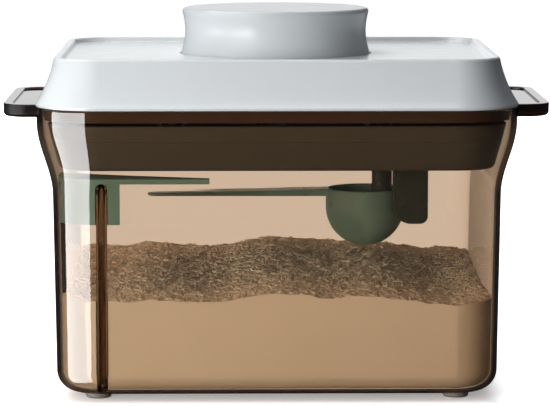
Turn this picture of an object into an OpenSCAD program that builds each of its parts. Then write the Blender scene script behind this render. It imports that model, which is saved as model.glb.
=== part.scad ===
// Milk powder canister with a push button lid, a hanging scoop and a corner leveller.
// Sizes are in millimetres, Z is up, the origin is on the table under the middle of the canister.

/* [Container] */
// Outer width at the rim, without the ear tabs
body_w = 205.6; // [180:0.2:240]
// Outer depth at the rim
body_d = 164.6; // [150:0.2:200]
// Height of the rim above the table
rim_z = 125.6; // [120:0.2:150]
// Outer corner radius at the rim
rim_r = 27.6; // [26:0.1:34]
// Wall thickness
wall = 2.6; // [2:0.1:3]
// Floor thickness
floor_t = 2; // [1.8:0.1:4]
// How far the shoulder steps in on each side
shoulder_in = 6.7; // [5:0.1:7]
// Height of the shoulder curve
shoulder_h = 32; // [26:0.5:36]
// Height of the straight band above the shoulder
rim_band = 6.4; // [5:0.1:9]
// How far each side leans in below the shoulder
draft = 1.3; // [0.5:0.1:3]
// Outer radius along the bottom edge
bottom_r = 9; // [6:0.5:11]

/* [Ear tabs] */
// How far a tab stands out from the rim
ear_reach = 15.4; // [12:0.1:24]
// Length of a tab along the rim
ear_len = 96; // [70:1:104]
// Height of a tab
ear_t = 5.6; // [4.5:0.1:7]
// Corner radius of a tab
ear_corner = 11; // [6:0.5:14]
// Width of the border around the panel in a tab
ear_border = 4; // [3:0.1:5]
// Depth of the panel in the top of a tab
ear_panel = 0.8; // [0.4:0.1:1.2]
// Depth of the hollow under a tab
ear_hollow = 2.4; // [1.5:0.1:3]

/* [Locating ribs] */
// Radius of a rib
rib_r = 2.3; // [1.8:0.1:2.6]
// How far a rib stands in from the corner axes
rib_step = 0.7; // [0:0.1:3]

/* [Feet] */
// Radius of a foot
foot_r = 5.6; // [4:0.1:6.5]
// Height of a foot under the container
foot_h = 2.8; // [2:0.1:4]
// Depth of the socket that holds a foot
foot_socket = 1.2; // [0.8:0.1:1.6]
// Feet from the middle to the side
foot_x = 77; // [60:0.5:80]
// Feet from the middle to the front
foot_y = 57; // [40:0.5:60]

/* [Leveller] */
// Height of the underside of the bar
lev_z = 94.2; // [90:0.2:95.2]
// Thickness of the bar
lev_t = 2.1; // [1.8:0.1:3]
// Length of the bar from the side wall
lev_len = 65; // [50:1:90]
// Depth of the bar at the side wall
lev_root = 26; // [22:0.5:34]
// Depth of the bar at its tip
lev_tip = 5; // [4:0.5:9]
// Height of the skirt under the bar
skirt_h = 17.6; // [10:0.2:24]
// Length of the skirt along each wall
skirt_len = 27; // [24:0.5:34]
// Thickness of the skirt
skirt_t = 2.2; // [1.6:0.1:3]

/* [Milk powder] */
// Height of the powder in the middle
powder_z = 48; // [20:0.5:50]
// Rise of the powder from front to back
powder_rise = 6; // [0:0.5:8]
// Height of the waves on the powder
powder_wave = 1.3; // [0:0.1:2]

/* [Lid] */
// Height of the lid shell
lid_h = 21; // [19:0.2:24]
// Wall thickness of the lid shell
lid_t = 2.4; // [1.8:0.1:2.8]
// How far the lid rim stands over the container rim
lid_over = 0.4; // [0.2:0.1:1]
// Height of the straight lip at the lid rim
lid_lip = 1.2; // [0.8:0.1:2]
// Lean of the lid side at the lip in degrees
lid_lean_low = 34; // [26:1:40]
// Lean of the lid side at the top in degrees
lid_lean_top = 12; // [3:1:14]
// Edge radius along the lid top
lid_edge = 1.4; // [0.8:0.1:2]
// Width of the raised border around the lid top
lid_border = 5; // [4:0.1:6]
// Depth of the dished lid top
lid_dish = 2; // [1.4:0.1:2.6]

/* [Button] */
// Radius of the button at its base
button_r = 41.7; // [36:0.1:44]
// Radius at the waist
button_waist = 40.1; // [35:0.1:42]
// Radius at the top edge
button_top_r = 41.3; // [36:0.1:43]
// Height of the button over the dished lid top
button_h = 20; // [19:0.2:23]
// Wall thickness of the button
button_t = 2.4; // [2:0.1:2.6]
// Edge radius at the top of the button
button_edge = 1.6; // [1:0.1:2.4]
// Travel of the button
press = 12; // [10:0.5:12]
// Gap around the button in the lid
button_gap = 0.5; // [0.4:0.05:0.8]

/* [Seal] */
// Height of the bottom of the seal tray
tray_z = 99.7; // [99:0.1:102]
// Wall thickness of the seal tray
tray_t = 2.4; // [2:0.1:2.6]
// Lift of the seal tray while the button goes down
tray_lift = 2.5; // [2:0.1:2.6]
// Height of the gasket
gasket_h = 7.5; // [6.5:0.1:7.6]
// Gap between the plug of the lid and the container
plug_gap = 0.7; // [0.5:0.05:1]

/* [Mechanism] */
// Thickness of the carrier plate
plate_t = 2.5; // [2:0.1:2.6]
// Distance of a rocker pin from the middle
pin_out = 46; // [45:0.2:48]
// Radius of a rocker pin
pin_r = 1.5; // [1.2:0.05:1.6]
// Running clearance of pins, screws and the stem
run = 0.06; // [0.04:0.01:0.1]
// Tilt of a rocker lever at rest in degrees
tilt = 15; // [13:0.5:16]
// Width of a rocker lever
rocker_w = 8; // [6:0.5:9]
// Radius of a lever nose
nose_r = 1.5; // [1.2:0.05:1.6]
// Side clearance of the moving pieces
side_gap = 0.5; // [0.4:0.05:0.8]
// Radius of the guide stem
stem_r = 7; // [6.6:0.1:7.6]
// Wire radius of the return spring
wire_r = 0.55; // [0.4:0.05:0.6]
// Mean radius of the return spring
coil_r = 4.4; // [4:0.1:4.6]
// Turns of the return spring
coils = 9; // [7:1:12]

/* [Scoop and holder] */
// Outer radius of the scoop bowl
bowl_r = 17.5; // [14:0.1:18]
// Height of the straight part of the bowl
bowl_h = 8.5; // [6:0.1:10]
// Wall thickness of the bowl
bowl_t = 1.5; // [1.2:0.1:2]
// Height of the bowl rim above the table
bowl_z = 84.3; // [83:0.1:86]
// Bowl from the middle to the side
bowl_x = 40; // [34:0.5:44]
// Length of the scoop with its handle
scoop_len = 114.5; // [100:0.5:118]
// Width of the handle at the bowl
handle_w = 11; // [8:0.5:14]
// Thickness of the handle at the bowl
handle_t = 3.2; // [2.4:0.1:4]
// Thickness of the handle at its tip
handle_tip = 1.2; // [1:0.1:2]
// Radius of the prong inside the bowl
prong_r = 4.5; // [3.6:0.1:4.6]
// Width of the tongue outside the bowl
tongue_w = 15.4; // [12:0.2:17]
// Height of the lower end of the tongue
tongue_z = 70.4; // [68:0.2:74]
// Clearance of the scoop in the holder
grip = 0.4; // [0.3:0.05:0.6]

/* [Hidden] */
$fn = 64;
hx = body_w / 2 - rim_r;
hy = body_d / 2 - rim_r;
u_low = rim_r - shoulder_in;
ear_span = body_w + 2 * ear_reach;
shoulder_low = rim_z - rim_band - shoulder_h;
floor_z = foot_h + floor_t;
inner_r = bottom_r - 2;
fit = 0.4;
lid_z = rim_z + 0.1;
lid_top = lid_z + lid_h;
dish_z = lid_top - lid_dish;
roof_z = dish_z - lid_t;
u_lid = rim_r + lid_over;
side_drop = lid_h - lid_lip - lid_edge;
side_r = side_drop / (sin(lid_lean_low) - sin(lid_lean_top));
side_in = side_r * (cos(lid_lean_top) - cos(lid_lean_low));
u_lid_top = u_lid - side_in;
button_z = dish_z;
button_top = button_z + button_h;
hole_r = button_r + button_gap;
plate_z = lid_z - plate_t;
flange_h = 2.8;
u_plug = rim_r - wall - plug_gap;
flange_z = plate_z - flange_h;
seat_z = flange_z - 0.6 - gasket_h;
u_seat = u_plug - 2.9;
u_neck = u_plug - 6.9;
u_tray = u_plug - 6;
tray_floor = tray_z + 2.5;
arm_in = press / (2 * sin(tilt));
arm_out = tray_lift / (2 * sin(tilt));
pin_z = tray_floor + tray_lift + press / 2 + nose_r + 1.5;
nose_out = pin_out - arm_in * (1 + cos(tilt)) / 2;
touch = 0.2;
leg_r = 2.25;
leg_z = pin_z + press / 2 + nose_r + touch;
hook_z = pin_z - tray_lift / 2 + nose_r + touch;
hook_out = pin_out + arm_out * cos(tilt) + nose_r + 0.8;
hub_r = 3.4;
boss_h = 6.3;
disc_t = 2.4;
button_roof = button_top - button_t;
disc_z = button_roof - boss_h - disc_t;
tower_z = pin_z - 5.5;
tower_floor = tower_z + 1.6;
tower_top = disc_z - press - 2.5;
stem_z = tower_floor + press + 1.4;
stem_roof = disc_z - 1.4;
screw_r = 1.5;
head_r = 2.8;
head_h = 1.8;
screw_out = 30;
latch_out = 22;
latch_top = lid_z + 12;
post_x = hx + 4.8;
post_y = hy - 10.7;
lid_posts = [for (x = [post_x, -post_x]) for (y = [post_y, 0, -post_y]) [x, y]];
prong_reach = bowl_r - bowl_t - grip - prong_r;
prong_at = [bowl_x + prong_reach * cos(50), -prong_reach * sin(50)];
tongue_x = bowl_x + 11.5;
tongue_y = -sqrt(pow(bowl_r + 2 * grip, 2) - pow(11.5, 2));
bowl_mid = bowl_z - bowl_h;
clip_left = bowl_x - 2;
clip_right = tongue_x + tongue_w + 3.1;
clip_front = tongue_y - 11.8;
clip_back = bowl_r - 5.5;
holder_screw_at = [[clip_right - 5.5, clip_back - 7], [clip_left + 7.5, clip_back - 5]];

// Points on an arc
function arc(cx, cy, r, from, to, n) =
    [for (i = [0:n]) let (a = from + (to - from) * i / n) [cx + r * cos(a), cy + r * sin(a)]];

// Soft step from 0 to 1
function ease(t) = (1 - cos(180 * t)) / 2;

// Distance of the outer wall from the corner axes at a height
function side_u(z) = z >= shoulder_low
    ? u_low + shoulder_in * ease(min(1, (z - shoulder_low) / shoulder_h))
    : u_low - draft * (shoulder_low - z) / (shoulder_low - foot_h);

// Shoulder curve from bottom to top, moved in by a wall
function shoulder(inset) =
    [for (i = [0:12]) let (z = shoulder_low + shoulder_h * i / 12) [side_u(z) - inset, z]];

// The same points in the other order
function turned(list) = [for (i = [len(list) - 1:-1:0]) list[i]];

// Section of the container from the floor over the rim and back to the floor
function container_section() =
    let (edge = 0.7)
    let (u0 = side_u(foot_h + bottom_r))
    let (u1 = side_u(floor_z + inner_r) - wall)
    concat([[0, foot_h]],
        arc(u0 - bottom_r, foot_h + bottom_r, bottom_r, -90, 0, 8),
        shoulder(0),
        arc(rim_r - edge, rim_z - edge, edge, 0, 90, 3),
        arc(rim_r - wall + edge, rim_z - edge, edge, 90, 180, 3),
        turned(shoulder(wall)),
        arc(u1 - inner_r, floor_z + inner_r, inner_r, 0, -90, 8),
        [[0, floor_z]]);

// Section of the space inside the container, smaller by a gap
function cavity_section(gap, top) =
    let (u1 = side_u(floor_z + inner_r) - wall)
    concat([[0, floor_z + gap]],
        arc(u1 - inner_r, floor_z + inner_r, inner_r - gap, -90, 0, 8),
        [[side_u(top) - wall - gap, top], [0, top]]);

// Concave side of the lid from the lip to the top, moved in by a wall
function lid_side(inset) =
    let (cz = lid_z + lid_lip + side_r * sin(lid_lean_low))
    let (cu = u_lid + side_r * cos(lid_lean_low))
    let (r = side_r + inset)
    [for (i = [0:10]) let (a = lid_lean_low + (lid_lean_top - lid_lean_low) * i / 10)
        [cu - r * cos(a), cz - side_r * sin(a)]];

// Section of the lid shell
function lid_section() =
    concat([[u_lid - lid_t, lid_z], [u_lid, lid_z]],
        lid_side(0),
        arc(u_lid_top - lid_edge, lid_top - lid_edge, lid_edge, 0, 90, 4),
        [[u_lid_top - lid_border + 1.2, lid_top], [u_lid_top - lid_border, dish_z], [0, dish_z]],
        [[0, roof_z], [u_lid_top - lid_t, roof_z]],
        turned([for (p = lid_side(lid_t)) if (p[1] < roof_z - 1) p]));

// Ring or slab with this section, carried round the rounded rectangle of the corner axes
module swept(section) {
    for (q = [[hx, hy, 0], [-hx, hy, 90], [-hx, -hy, 180], [hx, -hy, 270]])
        translate([q[0], q[1], 0])
            rotate([0, 0, q[2]])
                rotate_extrude(angle = 90)
                    polygon(section);
    for (turn = [0, 180])
        rotate([0, 0, turn]) {
            translate([-hx, hy, 0])
                rotate([90, 0, 90])
                    linear_extrude(2 * hx)
                        polygon(section);
            translate([hx, hy, 0])
                rotate([90, 0, 0])
                    linear_extrude(2 * hy)
                        polygon(section);
        }
}

// Fills the rectangle between the corner axes
module core(low, high) {
    translate([-hx, -hy, low])
        cube([2 * hx, 2 * hy, high - low]);
}

// Rounded rectangle at a distance from the corner axes
module outline(u) {
    square([2 * hx + 2 * u, 2 * hy], center = true);
    square([2 * hx, 2 * hy + 2 * u], center = true);
    for (sx = [-1, 1], sy = [-1, 1])
        translate([sx * hx, sy * hy])
            circle(u);
}

// Rounded rectangle with a flat start on the left
module tab_outline(from, to, half, corner) {
    intersection() {
        translate([from, -half])
            square([to - from, 2 * half]);
        union() {
            translate([from - corner, -half])
                square([to - from, 2 * half]);
            translate([from, -half + corner])
                square([to - from, 2 * half - 2 * corner]);
            for (s = [-1, 1])
                translate([to - corner, s * (half - corner)])
                    circle(corner);
        }
    }
}

// Places the children at the four sides of the mechanism
module four() {
    for (turn = [0, 90, 180, 270])
        rotate([0, 0, turn])
            children();
}

// Pan head screw that points up from the origin
module screw(length) {
    cylinder(h = length, r = screw_r);
    difference() {
        translate([0, 0, -head_h])
            cylinder(h = head_h, r1 = head_r - 0.4, r2 = head_r);
        for (turn = [0, 90])
            rotate([0, 0, turn])
                translate([-1.6, -0.35, -head_h - 1])
                    cube([3.2, 0.7, 1.9]);
    }
}

// One ear tab on the right
module ear() {
    from = body_w / 2 - wall + 0.6;
    to = ear_span / 2;
    half = ear_len / 2;
    inner = ear_corner - ear_border;
    difference() {
        translate([0, 0, rim_z - ear_t])
            linear_extrude(ear_t)
                tab_outline(from, to, half, ear_corner);
        translate([0, 0, rim_z - ear_panel])
            linear_extrude(ear_panel + 1)
                tab_outline(body_w / 2 + 1.4, to - ear_border, half - ear_border, inner);
        translate([0, 0, rim_z - ear_t - 1])
            linear_extrude(ear_hollow + 1)
                tab_outline(body_w / 2, to - 2.6, half - 2.6, ear_corner - 2.6);
    }
}

// Rib on the inside of a wall that stands at a distance from the middle, facing the front
module wall_rib(r, along, half, high) {
    lean = atan(draft / (shoulder_low - foot_h));
    low = floor_z + inner_r;
    face = half + side_u(low) - wall;
    translate([along, 0.2 - face, low])
        rotate([lean, 0, 0]) {
            cylinder(h = high - low, r = r);
            translate([0, 0, high - low])
                sphere(r);
        }
    // Foot of the rib, along the rounding at the floor
    translate([along, inner_r - face, low])
        rotate([0, 90, 0])
            rotate([0, 0, -94])
                rotate_extrude(angle = 74)
                    translate([inner_r - 0.2, 0])
                        circle(r - 0.15);
}

// Both ribs that carry the leveller
module ribs(r) {
    high = lev_z - rib_r - 0.1;
    wall_rib(r, -hx + rib_step, hy, high);
    rotate([0, 0, -90])
        wall_rib(r, hy - rib_step, hx, high);
}

module container() {
    color([0.72, 0.45, 0.22, 0.45]) {
        difference() {
            union() {
                swept(container_section());
                core(foot_h, floor_z);
                ear();
                rotate([0, 0, 180])
                    ear();
                ribs(rib_r);
            }
            for (sx = [-1, 1], sy = [-1, 1])
                translate([sx * foot_x, sy * foot_y, foot_h - 1])
                    cylinder(h = foot_socket + 1, r = foot_r - 0.8 + run);
        }
    }
}

module rubber_feet() {
    color([0.12, 0.1, 0.09])
        for (sx = [-1, 1], sy = [-1, 1])
            translate([sx * foot_x, sy * foot_y, 0])
                rotate_extrude()
                    polygon([[0, 0], [foot_r - 1, 0], [foot_r, 0.8], [foot_r, foot_h - 0.05],
                        [foot_r - 0.8, foot_h - 0.05], [foot_r - 0.8, foot_h + foot_socket - 0.1],
                        [0, foot_h + foot_socket - 0.1]]);
}

module leveller() {
    u_bar = side_u(lev_z) - wall - fit;
    u_skirt = side_u(lev_z - skirt_h) - wall - fit;
    left = -hx - u_bar;
    front = -hy - u_bar;
    color([0.5, 0.62, 0.55])
        difference() {
            union() {
                translate([0, 0, lev_z])
                    linear_extrude(lev_t)
                        intersection() {
                            outline(u_bar);
                            polygon([[left - 1, front - 1], [left + lev_len, front - 1],
                                [left + lev_len, front + lev_tip],
                                [left + skirt_len + 3, front + lev_root * 0.62],
                                [left + 5, front + lev_root], [left - 1, front + lev_root]]);
                        }
                translate([0, 0, lev_z - skirt_h])
                    linear_extrude(skirt_h)
                        intersection() {
                            difference() {
                                outline(u_skirt);
                                outline(u_skirt - skirt_t);
                            }
                            translate([left - 1, front - 1])
                                square([skirt_len + 1, lev_root + 1]);
                        }
            }
            ribs(rib_r + fit);
        }
}

module milk_powder() {
    steps = 26;
    gap = 0.35;
    top = powder_z + 12;
    slope = atan(powder_rise / body_d);
    wide = hx + rim_r;
    wave = [for (i = [0:steps]) let (x = -wide + 2 * wide * i / steps)
        [x, powder_z + powder_wave * (sin(x * 3.1 + 40) + 0.6 * sin(x * 7.3 + 110)) - x * x / 4200]];
    color([0.86, 0.76, 0.58])
        difference() {
            intersection() {
                union() {
                    swept(cavity_section(gap, top));
                    core(floor_z + gap, top);
                }
                translate([0, 0, powder_z])
                    rotate([slope, 0, 0])
                        translate([0, hy + rim_r, -powder_z])
                            rotate([90, 0, 0])
                                linear_extrude(2 * (hy + rim_r))
                                    polygon(concat([[wide, -5], [-wide, -5]], wave));
            }
            ribs(rib_r + gap);
        }
}

module lid_shell() {
    color([0.9, 0.91, 0.93])
        difference() {
            union() {
                swept(lid_section());
                core(roof_z, dish_z);
                translate([0, 0, roof_z - 6.5])
                    cylinder(h = 7, r = hole_r + 2.2);
                for (p = lid_posts) {
                    translate([p[0], p[1], lid_z])
                        cylinder(h = roof_z - lid_z + 0.2, r = 4.2);
                    translate([p[0] - 0.9, p[1] - 7, lid_z + 6])
                        cube([1.8, 14, roof_z - lid_z - 5.8]);
                }
            }
            translate([0, 0, roof_z - 8])
                cylinder(h = 12, r = hole_r);
            translate([0, 0, dish_z - 0.6])
                cylinder(h = 0.8, r1 = hole_r, r2 = hole_r + 0.8);
            for (p = lid_posts)
                translate([p[0], p[1], lid_z - 1])
                    cylinder(h = 12, r = screw_r + run);
        }
}

// Two ears that hold a rocker pin, on the right
module bracket() {
    inside = rocker_w / 2 + side_gap;
    for (s = [-1, 1])
        translate([pin_out, s * (inside + 1.2) + 1.2, 0])
            difference() {
                rotate([90, 0, 0])
                    linear_extrude(2.4) {
                        translate([0, pin_z])
                            circle(4.4);
                        translate([-4.4, pin_z])
                            square([8.8, plate_z - pin_z + 0.2]);
                    }
                translate([0, 1, pin_z])
                    rotate([90, 0, 0])
                        cylinder(h = 5, r = pin_r + run);
            }
}

module carrier_plate() {
    slot = 2 * (leg_r + side_gap);
    color([0.32, 0.3, 0.28])
        difference() {
            union() {
                swept([[0, plate_z], [u_plug - 3, plate_z], [u_plug - 3, flange_z], [u_plug, flange_z],
                    [u_plug, lid_z], [0, lid_z]]);
                core(plate_z, lid_z);
                four()
                    bracket();
                translate([0, 0, tower_z])
                    cylinder(h = tower_top - tower_z, r = stem_r + 2.6);
                // Ribs that carry the tower
                for (turn = [45, 135, 225, 315])
                    rotate([0, 0, turn])
                        translate([0, -0.9, lid_z - 0.2])
                            cube([14.5, 1.8, 4.7]);
                // Rim rib around the mechanism
                translate([0, 0, plate_z - 2])
                    difference() {
                        cylinder(h = 2.2, r = pin_out + 18);
                        translate([0, 0, -1])
                            cylinder(h = 4, r = pin_out + 16);
                        translate([-pin_out - 24, -pin_out - 4.5, -1])
                            cube([2 * pin_out + 48, 2 * pin_out + 9, 4]);
                    }
            }
            translate([0, 0, tower_floor])
                cylinder(h = 60, r = stem_r + run);
            four()
                translate([nose_out - slot / 2, -rocker_w / 2 - side_gap, plate_z - 1])
                    cube([slot, rocker_w + 2 * side_gap, plate_t + 2]);
            for (p = lid_posts)
                translate([p[0], p[1], plate_z - 1])
                    cylinder(h = plate_t + 2, r = screw_r + run);
            for (sx = [-1, 1], sy = [-1, 1])
                translate([sx * (pin_out + 12), sy * hy * 0.62, plate_z - 1])
                    cylinder(h = plate_t + 2, r = stem_r);
        }
}

module carrier_screws() {
    color([0.62, 0.63, 0.65])
        for (p = lid_posts)
            translate([p[0], p[1], plate_z])
                screw(10);
}

module seal_gasket() {
    inner = u_neck + 0.3;
    color([0.2, 0.18, 0.17])
        swept([[inner, seat_z], [u_plug - 1.9, seat_z], [u_plug - 1.1, seat_z + 1.1],
            [u_plug - 2.1, seat_z + 2.6], [u_plug - 2.1, seat_z + gasket_h - 2.6],
            [u_plug - 1.1, seat_z + gasket_h - 1.1], [u_plug - 1.9, seat_z + gasket_h],
            [inner, seat_z + gasket_h]]);
}

module rocker_pins() {
    half = rocker_w / 2 + side_gap + 2.4;
    color([0.7, 0.71, 0.73])
        four()
            translate([pin_out, half, pin_z])
                rotate([90, 0, 0])
                    cylinder(h = 2 * half, r = pin_r);
}

module latch_cartridge() {
    color([0.85, 0.85, 0.83])
        rotate([0, 0, 45])
            translate([latch_out, 0, lid_z])
                difference() {
                    union() {
                        translate([-5, -4.5, 0])
                            cube([10, 9, latch_top - lid_z]);
                        translate([-5, -7.5, 0])
                            cube([10, 15, 1.6]);
                        for (s = [-1, 1])
                            translate([-1, s * 4.6 - 0.6, 3])
                                cube([2, 1.2, 6]);
                    }
                    translate([-2.7, -2.2, 0.8])
                        cube([5.4, 4.4, 20]);
                }
}

// Tube along a helix, with straight ends one wire thick
module return_spring() {
    low = tower_floor + wire_r + 0.1;
    high = stem_roof - wire_r - 0.1;
    rings = 8 * coils;
    sides = 6;
    pitch = (high - low) / coils;
    rise = (high - low) / rings;
    lead = atan(pitch / (2 * PI * coil_r));
    stub = 2 * wire_r * cos(lead);
    path = concat(
        [[coil_r, -stub, low, 0]],
        [for (i = [0:rings]) let (a = 360 * i / 8)
            [coil_r * cos(a), coil_r * sin(a), low + rise * i, a]],
        [[coil_r, stub, high, 0]]);
    points = [for (p = path) for (k = [0:sides - 1])
        let (b = 360 * k / sides)
        let (out = wire_r * cos(b))
        let (up = wire_r * sin(b))
        [p[0] + out * cos(p[3]) + up * sin(p[3]) * sin(lead),
            p[1] + out * sin(p[3]) - up * cos(p[3]) * sin(lead),
            p[2] + up * cos(lead)]];
    last = len(path) - 1;
    walls = [for (i = [0:last - 1]) for (k = [0:sides - 1]) for (half = [0, 1])
        let (n = (k + 1) % sides)
        half == 0
            ? [i * sides + k, (i + 1) * sides + k, (i + 1) * sides + n]
            : [i * sides + k, (i + 1) * sides + n, i * sides + n]];
    caps = [[for (k = [0:sides - 1]) k], [for (k = [sides - 1:-1:0]) last * sides + k]];
    apart = min([for (i = [0:last - 8]) norm([path[i + 8][0] - path[i][0],
        path[i + 8][1] - path[i][1], path[i + 8][2] - path[i][2]]) - 2 * wire_r]);
    echo(spring_gap = apart);
    color([0.72, 0.73, 0.75])
        polyhedron(points, concat(walls, caps), convexity = 8);
}

// Waisted side of the button from the base to the top, moved in by a wall
function button_side(inset, low, high) =
    [for (i = [0:12]) let (t = i / 12)
        let (ends = button_r + (button_top_r - button_r) * t)
        let (dip = (button_r + button_top_r) / 2 - button_waist)
        [ends - dip * sin(180 * t) - inset, low + (high - low) * t]];

module button() {
    low = button_z + 0.6;
    high = button_top - button_edge;
    color([0.9, 0.91, 0.93])
        difference() {
            union() {
                rotate_extrude()
                    polygon(concat([[button_r - button_t, button_z - 0.9],
                            [button_r - 0.4, button_z - 0.9], [button_r, button_z - 0.5]],
                        button_side(0, low, high),
                        arc(button_top_r - button_edge, high, button_edge, 15, 90, 5),
                        [[0, button_top], [0, button_roof],
                            [button_top_r - button_t - 0.4, button_roof]],
                        turned([for (p = button_side(button_t, low, high)) if (p[1] < button_roof - 1) p])));
                for (turn = [45, 135, 225, 315])
                    rotate([0, 0, turn]) {
                        translate([screw_out, 0, button_roof - boss_h])
                            cylinder(h = boss_h + 0.2, r = 3.6);
                        translate([screw_out + 2, -0.9, button_roof - boss_h + 1.5])
                            cube([5.2, 1.8, boss_h - 1.3]);
                    }
            }
            for (turn = [45, 135, 225, 315])
                rotate([0, 0, turn])
                    translate([screw_out, 0, button_roof - boss_h - 1])
                        cylinder(h = boss_h + 0.4, r = screw_r + run);
        }
}

module pusher() {
    color([0.82, 0.82, 0.8])
        difference() {
            union() {
                translate([0, 0, disc_z])
                    cylinder(h = disc_t, r = screw_out + 4.5);
                translate([0, 0, stem_z])
                    cylinder(h = disc_z - stem_z + 0.2, r = stem_r);
                four() {
                    translate([nose_out - leg_r, -rocker_w / 2, leg_z + leg_r])
                        cube([2 * leg_r, rocker_w, disc_z - leg_z - leg_r + 0.2]);
                    translate([nose_out, rocker_w / 2, leg_z + leg_r])
                        rotate([90, 0, 0])
                            cylinder(h = rocker_w, r = leg_r);
                    translate([nose_out - 8, -0.9, disc_z - 6])
                        cube([8, 1.8, 6.2]);
                }
                rotate([0, 0, 45])
                    translate([latch_out - 2.2, -1.7, latch_top + 1])
                        cube([4.4, 3.4, disc_z - latch_top - 0.8]);
            }
            translate([0, 0, stem_z - 1])
                cylinder(h = stem_roof - stem_z + 1, r = stem_r - 1.4);
            for (turn = [45, 135, 225, 315])
                rotate([0, 0, turn])
                    translate([screw_out, 0, disc_z - 1])
                        cylinder(h = disc_t + 2, r = screw_r + run);
            four()
                translate([screw_out - 1.5, -0.75 * rocker_w, disc_z - 1])
                    cube([3.5, 1.5 * rocker_w, disc_t + 2]);
        }
}

module pusher_screws() {
    color([0.62, 0.63, 0.65])
        for (turn = [45, 135, 225, 315])
            rotate([0, 0, turn])
                translate([screw_out, 0, disc_z])
                    screw(7);
}

// Rocker lever with its long arm towards the middle, on the right
module rocker() {
    color([0.78, 0.78, 0.76])
        translate([pin_out, rocker_w / 2, pin_z])
            rotate([90, 0, 0])
                rotate([0, 0, -tilt])
                    difference() {
                        linear_extrude(rocker_w) {
                            circle(hub_r);
                            polygon([[-2, 2.7], [-arm_in, nose_r - 0.05], [-arm_in, -nose_r + 0.05],
                                [-2, -2.7]]);
                            translate([-arm_in, 0])
                                circle(nose_r);
                            translate([0, -nose_r + 0.05])
                                square([arm_out, 2 * nose_r - 0.1]);
                            translate([arm_out, 0])
                                circle(nose_r);
                        }
                        translate([0, 0, -1])
                            cylinder(h = rocker_w + 2, r = pin_r + run);
                        translate([-arm_in + 5, -4, 1.8])
                            cube([arm_in - 11, 3.4, rocker_w - 3.6]);
                    }
}

module rocker_right() {
    rocker();
}

module rocker_back() {
    rotate([0, 0, 90])
        rocker();
}

module rocker_left() {
    rotate([0, 0, 180])
        rocker();
}

module rocker_front() {
    rotate([0, 0, 270])
        rocker();
}

module seal_tray() {
    round_low = 2;
    neck_top = plate_z - tray_lift - 2;
    color([0.3, 0.29, 0.27])
        difference() {
            union() {
                swept(concat([[0, tray_z]],
                    arc(u_tray - round_low, tray_z + round_low, round_low, -90, -10, 5),
                    [[u_seat, seat_z - 2], [u_seat, seat_z - 0.05], [u_neck, seat_z - 0.05],
                        [u_neck, neck_top], [u_neck - tray_t, neck_top],
                        [u_neck - tray_t, seat_z - 1.5], [u_tray - tray_t - 1, tray_floor],
                        [0, tray_floor]]));
                core(tray_z, tray_floor);
                four() {
                    translate([hook_out, -rocker_w / 2, tray_floor - 0.2])
                        cube([3.4, rocker_w, hook_z + 2.8 - tray_floor + 0.2]);
                    translate([pin_out + arm_out - 0.8, -rocker_w / 2, hook_z])
                        cube([hook_out - pin_out - arm_out + 1, rocker_w, 2.8]);
                }
                for (p = holder_screw_at)
                    translate([p[0], p[1], tray_floor - 0.2])
                        cylinder(h = 4.2, r = 3.6);
            }
            for (p = holder_screw_at)
                translate([p[0], p[1], tray_z - 1])
                    cylinder(h = 7, r = screw_r + run);
        }
}

// Clip under the lid: a prong inside the bowl and a tongue outside it
module scoop_holder() {
    base = 2.4;
    low = bowl_mid + 0.9;
    color([0.22, 0.21, 0.2])
        difference() {
            union() {
                translate([clip_left, clip_front, tray_z - base])
                    cube([clip_right - clip_left, clip_back - clip_front, base]);
                translate([prong_at[0], prong_at[1], low + 2])
                    cylinder(h = tray_z - base - low - 1.8, r = prong_r);
                translate([prong_at[0], prong_at[1], low])
                    cylinder(h = 2, r1 = prong_r - 1.6, r2 = prong_r);
                translate([tongue_x, tongue_y, 0])
                    rotate([90, 0, 0])
                        linear_extrude(8) {
                            translate([0, tongue_z + 8])
                                square([tongue_w, tray_z - base - tongue_z - 7.8]);
                            translate([8, tongue_z])
                                square([tongue_w - 11.5, 9]);
                            translate([8, tongue_z + 8])
                                circle(8);
                            translate([tongue_w - 3.5, tongue_z + 3.5])
                                circle(3.5);
                            translate([8, tongue_z + 3.5])
                                square([tongue_w - 8, 5]);
                        }
                // Web between the prong and the base
                translate([prong_at[0] - 0.9, prong_at[1], bowl_z + 4])
                    cube([1.8, 12, tray_z - base - bowl_z - 3.8]);
            }
            for (p = holder_screw_at)
                translate([p[0], p[1], tray_z - 5])
                    cylinder(h = 8, r = screw_r + run);
        }
}

module holder_screws() {
    color([0.62, 0.63, 0.65])
        for (p = holder_screw_at)
            translate([p[0], p[1], tray_z - 2.4])
                screw(7);
}

// Half section of a cup with a round bottom
module cup_half(r) {
    intersection() {
        union() {
            circle(r);
            translate([-r, 0])
                square([2 * r, bowl_h]);
        }
        translate([0, -r])
            square([r, r + bowl_h]);
    }
}

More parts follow.
